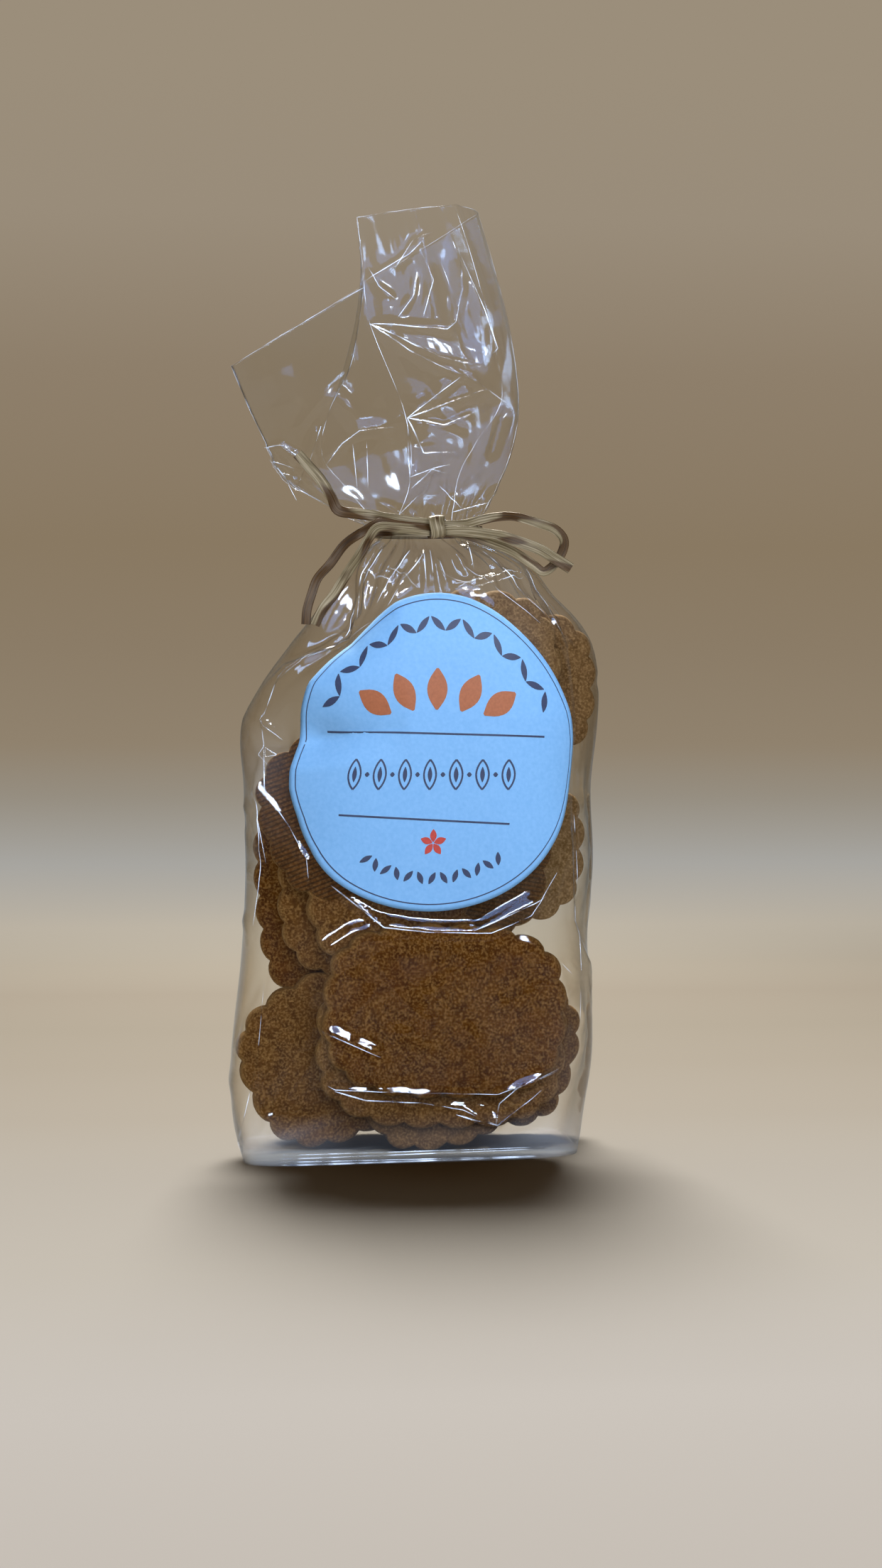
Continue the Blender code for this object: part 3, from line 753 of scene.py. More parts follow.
def film_grid():
    """The plain film: its heights, points, outward directions and arcs from the middle of the label.
    Columns run round from the middle of the back, so they go from left to right in front."""
    share = np.arange(FILM_COLUMNS) / FILM_COLUMNS
    along = ROUND * (share - FRONT_CROWDING * np.sin(2 * np.pi * share) / (2 * np.pi))
    along = np.roll(along, FILM_COLUMNS // 2)
    heights = np.linspace(FIRST_ROW, TOP_OF_BODY, FILM_ROWS)
    points = np.array([film_row(along, height) for height in heights])
    steps = np.linalg.norm(np.diff(points, axis=1), axis=2)
    arcs = np.concatenate([np.zeros((FILM_ROWS, 1)), np.cumsum(steps, axis=1)], axis=1)
    for row in range(FILM_ROWS):
        arcs[row] -= np.interp(LABEL_CENTRE[0], points[row, FRONT_COLUMNS, 0], arcs[row, FRONT_COLUMNS])
    return along, heights, points, grid_normals(points), arcs


def label_drop(arc, rise):
    """How far the film under the label falls back: round both sides, at the upper left, and in the
    crease that runs in from its left edge. Arcs and rises are millimetres from the label's middle."""
    to_right_edge = rising(-arc, -62, 14)
    to_left_edge = rising(arc, -64, 16)
    right = 4.0 * rising(arc, 18, 28, 1.3) ** 1.5 * to_right_edge
    crease_rise = 3.0 + (arc + 40) * 0.107
    off = rise - crease_rise
    crease = (1 - rising(np.abs(off), 0, np.where(off > 0, 16.0, 9.0))) ** 1.25
    crease = 6.2 * rising(-arc, 8, 32, 1.1) ** 0.85 * crease
    corner = np.hypot(arc, rise)
    turn = np.degrees(np.arctan2(rise, arc))
    upper_left = 6.0 * rising(corner, 32, 14, 1.3) ** 1.5 * np.clip(1 - np.abs(turn - 128) / 24, 0, 1)
    upper = 2.5 * rising(rise, 10, 30) * rising(np.abs(arc), 10, 30)
    within = rising(-np.abs(rise), -62, 12)
    return within * (right + upper * to_right_edge * to_left_edge + to_left_edge * (crease + upper_left))


def make_film_body(sables, surface):
    """The film from the flat base up to the tie, drawn over the sables, with its folds and pleats.
    Also gives the laid film, which carries the label."""
    along, heights, points, normals, arcs = film_grid()
    tree = BVHTree.FromObject(sables, bpy.context.evaluated_depsgraph_get())
    needed = rest_on(points, normals, tree)
    across, up = points[..., 0], points[..., 2]
    rise = up - LABEL_CENTRE[1]
    in_front = np.clip(-normals[..., 1] * 4, 0, 1)
    own = -label_drop(arcs, rise) * in_front
    drawn = relax(needed - own) + own
    folds = np.zeros(across.shape)
    for path, height, above, below in FRONT_FOLDS + FRONT_WAVES:
        folds += in_front * ridge(across, up, path, height, above, below)
    draw = random.Random(11)
    around = np.broadcast_to(along, across.shape)
    for path, height, above, below in scattered_folds(draw):
        for turn in (0, ROUND):
            folds += ridge(around - turn, up, path, height, above, below)
    folds += pleats(draw, around, up)
    swell, middle, reach = SIDE_SWELL
    folds += swell * np.clip(normals[..., 0], 0, 1) * np.exp(-(((up - middle) / reach) ** 2))
    cover = rising(-np.hypot(arcs, rise), -LABEL_RADIUS - LABEL_MARGIN, LABEL_MARGIN) * (in_front > 0)
    shape = drawn + folds * rising(up, 0, FOLDS_START) * (1 - cover)
    shape = np.where(cover > 0, shape, np.maximum(shape, needed))
    points = points + normals * shape[..., None]
    points[..., 2] = np.maximum(points[..., 2], FILM_FOOT)
    faces = grid_faces(FILM_ROWS, FILM_COLUMNS, closed=True)
    faces.append(tuple(reversed(range(FILM_COLUMNS))))
    made = object_from("film_body", points.reshape(-1, 3), faces, surface)
    # Milky where the base is folded, more so to the sides, and in the gathers, for their layers and as
    # painted sheen, and in patches of painted sheen.
    doubled = 0.45 + 1.0 * rising(np.abs(across), 18, 20)
    layers = 0.008 * doubled * rising(-up, -15, 7) + 0.0018 * rising(up, 152, 14)
    for x, height, half_width, half_height, most in PAINTED_SHEEN_PATCHES:
        layers += most * np.exp(-(((across - x) / half_width) ** 2) - ((up - height) / half_height) ** 2)
    layers[0] += 0.02
    store(made, {"layers": layers.ravel()})
    return thicken(made, FILM_THICKNESS), (heights, arcs, points, grid_normals(points))


def pleats(draw, along, up):
    """Pleats that gather the film into the tie: sharp fans, widest where they die out below."""
    gathered = np.zeros(along.shape)
    places = sorted(draw.uniform(0, ROUND) for _ in range(PLEATS))
    for place in places:
        foot = draw.uniform(*PLEAT_FEET)
        height = draw.uniform(*PLEAT_HEIGHTS)
        drift = draw.uniform(*PLEAT_DRIFT)
        rise = rising(up, foot, TOP_OF_BODY - foot)
        centre = place + drift * (1 - rise)
        away = np.abs((along - centre + ROUND / 2) % ROUND - ROUND / 2)
        width = PLEAT_WIDTH - rise
        gathered += height * np.sin(np.pi * rise * 0.9) ** 0.7 * np.maximum(0, 1 - away / width)
    return gathered


# The open film above the tie: its fold lines from the tie to the mouth (x, y, z).
FLARE_EDGES = (
    # left edge of the front
    ((-5, -3.6, 184), (0.5, -6, 199), (-1, -8.5, 218), (-11.7, -10.5, 245), (-13.7, -7.4, 262),
     (-15.3, -7.2, 277)),
    # inner fold at the right
    ((13, -4.6, 184), (15, -6.5, 200), (20, -9, 210), (28, -10.5, 223), (25.5, -11, 241),
     (19, -6.8, 267), (14, -6.8, 281.5)),
    # outermost edge at the right
    ((20, 0, 184), (28.0, 0, 199), (33, 1.5, 214), (34, 2.5, 229), (30.5, 4, 252), (22, 5, 282)),
    # tip of the wing at the left
    ((-6.5, 1.5, 184), (-22, 1, 192), (-31.5, 1, 197), (-39, 0.5, 205), (-46.5, -1.5, 219),
     (-52.5, -3.5, 233)),
    # fold in the wing
    ((-6.5, -2, 184), (-18, -2.5, 197), (-25.5, -3.5, 207), (-23.5, -5, 220), (-17, -7, 234),
     (-13.5, -8, 256)),
)
# Columns of points from each edge to the next, and how far that panel bulges.
FLARE_COLUMNS = (52, 22, 70, 34, 16)
FLARE_BULGE = (1.6, 1.2, 3.0, 1.5, 0.8)
FLARE_ROWS = 104
# The real spacing of the columns and rows.
FLARE_PITCH = (0.95, 0.92)
# Folds of its front, as those of the film below.
FLARE_FOLDS = (
    (((-11.7, 244.7), (11, 243), (13.6, 245.5), (15.3, 254.6), (15.3, 268)), 1.2, 3.0, 2.0),
    (((-11.7, 244.7), (2, 238), (8.7, 235), (21, 232), (26, 238), (22, 250), (14.5, 268)), 1.5, 5.0, 1.2),
    (((-11.7, 244.7), (-0.4, 237), (8, 232.6), (18, 228.7), (29, 222)), 1.2, 2.5, 2.0),
    (((-0.6, 217.2), (22.6, 225.7)), 1.3, 5.0, 1.5),
    (((-0.6, 217.2), (16, 230)), 1.3, 3.0, 1.5),
    (((-0.6, 217.2), (4.3, 207), (17.2, 207.4)), 1.8, 8.0, 1.5),
    (((-0.6, 217.2), (10.2, 215), (19.4, 219)), 1.9, 1.2, 7.0),
    (((0.4, 198), (-0.6, 217.2)), 1.0, 2.0, 2.0),
    (((0.9, 197), (6.6, 202), (11, 201.5)), 1.8, 5.0, 1.5),
    (((-42.6, 209.4), (-37.7, 209.8), (-30, 204.5), (-33.4, 196.8)), 1.4, 1.5, 5.0),
    (((-41, 206), (-36, 200), (-33, 194)), 1.5, 4.0, 1.5),
    (((-41, 205.5), (-34, 203)), 1.0, 4.0, 1.5),
    (((-39, 202.5), (-31.5, 199.5)), 0.9, 3.5, 1.2),
    (((0, 200), (12, 204)), 1.2, 4.5, 1.5),
    (((-12, 262), (-9, 256), (-4, 252)), 0.7, 1.5, 2.0),
    (((-13, 258), (0, 266), (6, 272)), 0.6, 2.0, 6.0),
    (((-4, 262), (1, 270), (7, 273)), 0.5, 1.5, 3.0),
    (((-4, 246), (1, 253), (2, 262)), 0.6, 2.5, 2.0),
    (((4, 247), (7, 258), (3, 268)), 0.6, 3.0, 2.0),
    (((-3, 189), (6, 198)), 0.8, 3.0, 1.5),
    (((9, 198), (17, 190)), 0.8, 1.5, 3.5),
    (((13, 190), (24, 193)), 0.9, 3.5, 1.5),
    (((-24.7, 203.6), (-20, 209.8), (-14.7, 213.6), (-4.9, 214.7)), 1.5, 4.0, 1.5),
    (((-16.6, 209.8), (-15.1, 196.2)), 1.1, 2.0, 2.0),
    (((-12.5, 210.4), (-12, 196.8)), 1.0, 2.0, 2.0),
    (((-26, 215.3), (-29.1, 205.5)), 1.1, 2.0, 2.5),
)
# Fine waves of the whole open film: length, height, lean and start.
FLARE_WAVES = ((11.0, 0.10, 0.10, 0.4), (17.0, 0.22, -0.16, 2.1), (7.0, 0.04, 0.05, 4.0))


def make_flare(surface):
    """The open tube of film above the tie: front, right gusset, back and the two layers of the wing.
    Also gives its grid, for the creases."""
    rows = []
    for row in range(FLARE_ROWS):
        up = row / (FLARE_ROWS - 1)
        corners = [spline(edge, up) for edge in FLARE_EDGES]
        line = []
        for panel, columns in enumerate(FLARE_COLUMNS):
            start = corners[panel]
            end = corners[(panel + 1) % len(corners)]
            out = Vector((end.y - start.y, start.x - end.x, 0)).normalized()
            for column in range(columns):
                across = column / columns
                belly = FLARE_BULGE[panel] * math.sin(math.pi * across) * min(1, 2 * up)
                line.append(start.lerp(end, across) + out * belly)
        rows.append(line)
    points = np.array([[tuple(point) for point in line] for line in rows])
    columns = points.shape[1]
    normals = grid_normals(points)
    across, up = points[..., 0], points[..., 2]
    starts = np.concatenate([[0], np.cumsum(FLARE_COLUMNS)])
    front = np.zeros(points.shape[:2])
    front[:, :starts[1]] = 1
    front[:, starts[3]:] = 1
    folds = np.zeros(points.shape[:2])
    for path, height, above, below in FLARE_FOLDS:
        folds += front * ridge(across, up, path, height, above, below)
    draw = random.Random(23)
    around = np.broadcast_to(np.arange(columns) * FLARE_PITCH[0], folds.shape)
    risen = np.broadcast_to(np.arange(FLARE_ROWS)[:, None] * FLARE_PITCH[1], folds.shape)
    # Gathers that rise from the tie or from higher up, then many short sharp ones at the tie.
    gathers = [(draw.choice((-2, -1, 0, 2, 30, 45, 60)), draw.uniform(14, 36), 6.0) for _ in range(40)]
    gathers += [(-2, draw.uniform(8, 20), 2.2) for _ in range(60)]
    for foot, length, widest in gathers:
        place = draw.uniform(0, columns * FLARE_PITCH[0])
        lean = draw.gauss(0, 0.5)
        path = ((place, foot), (place + math.sin(lean) * length, foot + math.cos(lean) * length))
        folds += ridge(around, risen, path, draw.uniform(0.3, 1.0) * draw.choice((-1, 1)),
                       draw.uniform(1.0, widest), draw.uniform(1.0, widest))
    folds *= rising(risen, 0, 3)
    for length, height, lean, start in FLARE_WAVES:
        place = (around + lean * risen) * 2 * np.pi / length + start
        folds += height * rising(risen, 0, 40) * np.sin(place)
    points = points + normals * folds[..., None]
    faces = grid_faces(FLARE_ROWS, columns, closed=True)
    made = object_from("film_flare", points.reshape(-1, 3), faces, surface)
    turn = columns - starts[3]
    laid = np.roll(points, turn, 1), np.roll(grid_normals(points), turn, 1), turn + FLARE_COLUMNS[0]
    return thicken(made, FILM_THICKNESS), laid


# The creases: the folds' own lines, each a milky rib that is wider the higher its fold.
RIB_SIDES = 5
# The least width of a rib, what each millimetre of its fold adds, and its width at the mouth.
RIB_LEAST = 0.2
RIB_BY_HEIGHT = 0.17
RIB_AT_MOUTH = 0.14
# Its edges stand this far off the film.
RIB_LIFT = 0.09
# Lines of the folded base across the front: height at the left, rise to the right, and width.
BASE_LINES = ((0.5, 0.3, 0.7), (1.4, -0.4, 0.5), (2.3, 0.8, 0.45), (3.4, 0.2, 0.4))
BASE_REACH = 56


def rib(points, normals, width):
    """The points and faces of a low half-round rib along a line on the film, thinner at its ends."""
    made, faces = [], []
    ahead = np.gradient(points, axis=0)
    beside = np.cross(ahead, normals)
    beside /= np.maximum(np.linalg.norm(beside, axis=1, keepdims=True), 1e-9)
    steps = np.arange(len(points))
    ends = np.minimum(1, 0.2 + np.minimum(steps, steps[::-1]) / 5) * (1 - 0.6 * steps / len(points))
    reach = ends[:, None] * width / 2
    for side in range(RIB_SIDES + 1):
        turn = math.pi * side / RIB_SIDES
        high = RIB_LIFT + 0.8 * reach * math.sin(turn)
        made.append(points + beside * reach * math.cos(turn) + normals * high)
    count = len(points)
    for side in range(RIB_SIDES):
        for step in range(count - 1):
            low = side * count + step
            faces.append((low, low + 1, low + count + 1, low + count))
    for step in range(count - 1):
        last = RIB_SIDES * count + step
        faces.append((step + 1, step, last, last + 1))
    return np.concatenate(made), faces


def even_steps(path, pitch=0.6):
    """Points every so often along a flat path."""
    path = np.array(path, float)
    spans = np.linalg.norm(np.diff(path, axis=0), axis=1)
    walked = np.concatenate([[0], np.cumsum(spans)])
    wanted = np.linspace(0, walked[-1], max(4, int(walked[-1] / pitch)))
    return np.column_stack([np.interp(wanted, walked, path[:, axis]) for axis in range(2)])


def on_film(heights, keys, points, normals, key, height):
    """A place on a grid of film and the direction out of it, at a height and a key along its rows."""
    row = (height - heights[0]) / (heights[1] - heights[0])
    low = min(max(int(row), 0), len(heights) - 2)
    place, out = np.zeros(3), np.zeros(3)
    for line, share in ((low, low + 1 - row), (low + 1, row - low)):
        for axis in range(3):
            place[axis] += share * np.interp(key, keys[line], points[line, :, axis])
            out[axis] += share * np.interp(key, keys[line], normals[line, :, axis])
    return place, out / np.linalg.norm(out)


def make_creases(film, flare, surface):
    heights, arcs, points, normals = film
    front = heights, points[:, FRONT_COLUMNS, 0], points[:, FRONT_COLUMNS], normals[:, FRONT_COLUMNS]
    lines = [
        (front, path, RIB_LEAST + RIB_BY_HEIGHT * height)
        for path, height, _, _ in FRONT_FOLDS if height > 0
    ]
    around = np.broadcast_to((np.arange(FILM_COLUMNS) / FILM_COLUMNS - 0.5) * ROUND, arcs.shape)
    for start, tilt, width in BASE_LINES:
        path = ((-BASE_REACH, start), (0, start + tilt / 2), (BASE_REACH, start + tilt))
        lines.append(((heights, around, points, normals), path, width))
    ribs = []
    for grid, path, width in lines:
        line, away = zip(*(on_film(*grid, key, height) for key, height in even_steps(path)))
        ribs.append((np.array(line), np.array(away), width))
    laid, out, columns = flare
    up = laid[:, :columns, 2]
    for path, height, _, _ in FLARE_FOLDS:
        line, away = [], []
        for x, z in even_steps(path):
            nearest = np.argmin(np.hypot(laid[:, :columns, 0] - x, up - z))
            row, column = divmod(int(nearest), columns)
            point = laid[row, column].copy()
            point[0], point[2] = x, z
            line.append(point)
            away.append(out[row, column])
        ribs.append((np.array(line), np.array(away), RIB_LEAST + RIB_BY_HEIGHT * height))
    # The folded edges of the open film, from the tie to the mouth, and the mouth itself.
    edges = np.cumsum((0, *FLARE_COLUMNS[3:], FLARE_COLUMNS[0] - 1, FLARE_COLUMNS[1]))
    for column in edges:
        ribs.append((laid[2:, column], out[2:, column], RIB_LEAST))
    ribs.append((laid[-1], out[-1], RIB_AT_MOUTH))
    all_points, all_faces = [], []
    for line, away, width in ribs:
        made, faces = rib(line, away, width)
        start = sum(len(part) for part in all_points)
        all_points.append(made)
        all_faces += [tuple(start + corner for corner in face) for face in faces]
    return object_from("film_creases", np.concatenate(all_points), all_faces, surface)


# The label

# Half widths of the label as it wraps round the bag, as shares of a circle's: rise, left, right.
LABEL_WRAP = (
    (-46, 1.06, 1.0), (-37, 1.03, 0.99), (-28, 0.97, 0.98), (-19, 0.94, 0.98), (-11, 0.94, 0.98),
    (-4, 0.91, 0.98), (3, 0.89, 0.98), (12, 0.91, 0.96), (20, 0.91, 0.92), (27, 0.88, 0.88),
    (37, 0.79, 0.82), (46, 0.76, 0.78),
)
# It leans to the right, by this share of its rise.
LABEL_SLANT = 0.03
LABEL_RINGS = 36
LABEL_SPOKES = 180
ALMOND_ROUNDNESS = 0.8
RULE_WIDTH = 0.55


def on_label(film, across, rise, lift):
    """The point of the label at a place of its flat design, lifted off the laid film."""
    rises, left, right = zip(*LABEL_WRAP)
    arc = across * np.interp(rise, rises, left if across < 0 else right) + LABEL_SLANT * rise
    place, out = on_film(*film, arc, LABEL_CENTRE[1] + rise)
    return place + out * lift


def make_label(film):
    """The round paper label, laid on the film."""
    points = [on_label(film, 0, 0, LABEL_LIFT)]
    for ring in range(1, LABEL_RINGS + 1):
        places = circle(LABEL_RADIUS * ring / LABEL_RINGS, LABEL_SPOKES)[:-1]
        points += [on_label(film, *place, LABEL_LIFT) for place in places]
    faces = [(0, 1 + spoke, 1 + (spoke + 1) % LABEL_SPOKES) for spoke in range(LABEL_SPOKES)]
    rings = grid_faces(LABEL_RINGS, LABEL_SPOKES, closed=True, start=1)
    faces += [tuple(reversed(face)) for face in rings]
    paper = material("uncoated_paper", uncoated_paper)
    return thicken(object_from("label_disc", points, faces, paper), LABEL_THICKNESS)


def turned(x, y, turn, centre=(0, 0)):
    """A flat place turned about the origin, then moved to a centre."""
    cos, sin = math.cos(turn), math.sin(turn)
    return centre[0] + x * cos - y * sin, centre[1] + x * sin + y * cos


def almond(length, width, turn, centre, rows=6, lanes=2):
    """A pointed oval as small flat cells, which bend with the paper."""
    def corner(row, lane):
        share = row / rows
        swell = math.sin(math.pi * min(max(share, 0.02), 0.98)) ** ALMOND_ROUNDNESS
        return turned(length * (share - 0.5), width * (lane / lanes - 0.5) * swell, turn, centre)

    return [[corner(row, lane), corner(row + 1, lane), corner(row + 1, lane + 1), corner(row, lane + 1)]
            for row in range(rows) for lane in range(lanes)]


def almond_ring(length, width, turn, centre, steps=8):
    """The outline of a pointed oval, as flat points that end where they start."""
    side = []
    for step in range(steps + 1):
        share = step / steps
        side.append((length * (share - 0.5), width / 2 * math.sin(math.pi * share) ** ALMOND_ROUNDNESS))
    return [turned(x, y, turn, centre) for x, y in side + [(x, -y) for x, y in reversed(side[:-1])]]


def strip(path, width):
    """Flat four-sided pieces that follow a path of flat points."""
    pieces = []
    for (x0, z0), (x1, z1) in zip(path, path[1:]):
        span = math.hypot(x1 - x0, z1 - z0)
        side_x, side_z = -(z1 - z0) / span * width / 2, (x1 - x0) / span * width / 2
        pieces.append([(x0 + side_x, z0 + side_z), (x0 - side_x, z0 - side_z),
                       (x1 - side_x, z1 - side_z), (x1 + side_x, z1 + side_z)])
    return pieces


def circle(radius, steps):
    return [turned(radius, 0, 2 * math.pi * step / steps) for step in range(steps + 1)]


def make_print(name, outlines, film, ink):
    """Flat outlines laid on the label as one mesh, a hair above the paper."""
    points, faces = [], []
    lift = LABEL_LIFT + LABEL_THICKNESS / 2 + INK_LIFT
    for outline in outlines:
        start = len(points)
        points += [on_label(film, x, z, lift) for x, z in outline]
        faces.append(tuple(range(start, len(points))))
    return object_from(name, points, faces, ink)


def navy_print():
    """A thin ring, two rules, a garland of leaves at the top and a small one at the bottom, and a row
    of outlined almonds with dots between the rules."""
    pieces = strip(circle(LABEL_RADIUS - 2.0, 240), 0.32)
    # Each rule: the place of its left end, and how far it runs and drops.
    for left, run, start, drop in ((-36.5, 69.5, 5.8, -1.6), (-29.0, 51.5, -18.4, -2.6)):
        path = [(left + run * step / 60, start + drop * step / 60) for step in range(61)]
        pieces += strip(path, RULE_WIDTH)
    # Each garland: its leaves, its radius, where it starts and how far it goes in degrees, and the
    # length, width, turn and lean of a leaf.
    for count, radius, first, sweep, length, width, turn, lean in (
        (17, 36.8, 157, -134, 6.4, 2.1, math.pi / 2, 0.7), (13, 36.5, 238, 64, 3.8, 1.6, 0.0, 0.5),
    ):
        for step in range(count):
            place = math.radians(first + step * sweep / (count - 1))
            leaf = place + (lean if step % 2 else -lean) + turn
            pieces += almond(length, width, leaf, turned(radius, 0, place))
    for step in range(7):
        centre = (-25 + step * 7.8, -6.8)
        pieces += strip(almond_ring(8.6, 3.8, math.pi / 2, centre), RULE_WIDTH)
        pieces += almond(4.4, 1.4, math.pi / 2, centre)
        if step < 6:
            pieces += almond(1.4, 1.4, 0, (centre[0] + 3.9, centre[1]))
    return pieces


def almond_spray():
    """Five almonds fanned over the upper rule."""
    pieces = []
    for lean, x, rise in (
        (-58, -19.5, 14.0), (-30, -10.3, 16.8), (0, 0, 17.8), (30, 10.3, 16.6), (58, 19.3, 13.6),
    ):
        pieces += almond(12.0, 6.4, math.radians(90 - lean), (x, rise), rows=10, lanes=5)
    return pieces


def small_flower():
    """A five-petalled flower below the lower rule."""
    petals = []
    for step in range(5):
        turn = math.radians(90 + 72 * step)
        petals += almond(3.6, 2.0, turn, turned(2.1, 0, turn, (0, -26.4)))
    return petals


# The raffia

# Each strand: width, how brown, and its route from the knot.
STRANDS = {
    "upper_left": (
        3.2,
        -0.02,
        ((6, -9.0, 186), (-2, -9.6, 187), (-9, -9.4, 188.2), (-15.7, -8.8, 189), (-21, -8.0, 190),
         (-23, -7.4, 194), (-26, -6.6, 199), (-29.4, -5.8, 203), (-33, -5.2, 207)),
    ),
    "left_tail_outer": (
        2.7,
        0.24,
        ((6, -9.6, 184.6), (-3, -11.2, 185.4), (-9, -12.6, 185.9), (-14.7, -14.0, 182.6),
         (-19.5, -15.4, 179), (-23.6, -16.6, 173.4), (-27.4, -17.4, 169.0), (-29.2, -17.8, 164.2),
         (-30.5, -17.8, 159.7), (-30.8, -17.4, 155.5)),
    ),
    "left_tail_inner": (
        2.9,
        -0.03,
        ((6, -10.2, 183.8), (-3, -12.4, 184.4), (-9.4, -14.0, 184.4), (-12.4, -15.2, 180.8),
         (-14.7, -16.6, 176.6), (-17.8, -18.2, 172), (-20.3, -19.4, 168), (-22.6, -20.6, 164.2),
         (-26.1, -21.6, 159.7), (-28.4, -22.0, 155)),
    ),
    "right_loop": (
        2.8,
        -0.01,
        ((9, -9.4, 185.8), (16, -11.2, 185.8), (21, -12.6, 187), (26.2, -13.8, 187.9),
         (31.2, -14.6, 187.8), (38.1, -15.0, 185.9), (42.6, -14.8, 184.3), (45.4, -14.2, 181.4),
         (45.2, -13.2, 178), (42.8, -12.2, 174), (39.6, -11.8, 172), (36.4, -11.6, 174.2),
         (30, -11.4, 178.2), (19, -10.6, 182.2), (9, -9.0, 184.2)),
    ),
    "right_tail": (
        3.3,
        -0.05,
        ((9, -10.4, 183.6), (16, -12.8, 183.6), (21, -14.4, 183), (26.2, -15.8, 182),
         (31.4, -17.0, 180.3), (37.7, -17.8, 178), (42.2, -18.2, 175.3), (47, -18.4, 172.3)),
    ),
}
STRAND_THICKNESS = 0.3
STRAND_TWIST = 2.4
STRAND_STEP = 0.8
STRAND_SIDES = 26
FIBRE_DEPTH = 0.2
# The turns round the neck: their middle and radii, then how high and how much wider each one is.
NECK_CENTRE = (6.5, 0.0, 185.0)
NECK_RADII = (15.2, 7.0)
NECK_TURNS = ((0.6, 0.7), (-0.6, 1.2))
NECK_WIDTH = 2.4
NECK_STEPS = 32
# The knot: its middle, its length and radii, and its points along and round.
KNOT_CENTRE = (8.0, -10.6, 185.0)
KNOT_LENGTH = 4.4
KNOT_RADII = (2.6, 3.1)
KNOT_ROWS = 9
KNOT_COUNT = 28


def make_raffia(surface):
    """The pieces of the tie: flat ribbons that follow their routes, and the knot."""
    tree = ribbon_tree(surface)
    ribbons = []
    for index, (name, width, brown, route) in enumerate(raffia_routes()):
        data = bpy.data.curves.new(name, "CURVE")
        data.dimensions = "3D"
        line = data.splines.new("POLY")
        count = max(12, 6 * len(route))
        line.points.add(count)
        for step in range(count + 1):
            line.points[step].co = (*(spline(route, step / count) * MM), 1.0)
        ribbons.append(grow(linked(name, data), tree, {
            "Width": width * MM, "Thickness": STRAND_THICKNESS * MM, "Twist": STRAND_TWIST,
            "Browning": brown, "Seed": index,
        }))
    ribbons.append(make_knot(surface))
    return ribbons


def raffia_routes():
    """Every ribbon's name, width, browning and route: the bow and the turns round the neck."""
    routes = [(name, width, brown, route) for name, (width, brown, route) in STRANDS.items()]
    x, y, z = NECK_CENTRE
    for index, (rise, growth) in enumerate(NECK_TURNS):
        ring = []
        for step in range(NECK_STEPS + 1):
            turn = 2 * math.pi * step / NECK_STEPS
            ring.append((x + (NECK_RADII[0] + growth) * math.cos(turn),
                         y + (NECK_RADII[1] + growth) * math.sin(turn),
                         z + rise + 0.5 * math.sin(turn + index)))
        routes.append((f"neck_turn_{index}", NECK_WIDTH, 0.0, tuple(ring)))
    return routes


def make_knot(surface):
    """The one upright turn that holds the bow: a band round the ribbons in front."""
    x, y, z = KNOT_CENTRE
    points = []
    for row in range(KNOT_ROWS):
        share = row / (KNOT_ROWS - 1)
        for step in range(KNOT_COUNT):
            turn = 2 * math.pi * step / KNOT_COUNT
            pinch = 1 + 0.12 * math.sin(3 * turn + 4 * share)
            points.append((x + (share - 0.5) * KNOT_LENGTH + 0.4 * math.sin(2 * turn),
                           y + KNOT_RADII[0] * pinch * math.cos(turn),
                           z + KNOT_RADII[1] * pinch * math.sin(turn)))
    made = object_from("knot", points, grid_faces(KNOT_ROWS, KNOT_COUNT, closed=True), surface)
    store(made, {
        "along": [(index % KNOT_COUNT) * 0.7 * MM for index in range(len(points))],
        "across": [(index // KNOT_COUNT) * 0.55 * MM for index in range(len(points))],
        "own": [0.35] * len(points),
        "browning": [-0.03] * len(points),
    })
    return thicken(made, STRAND_THICKNESS)


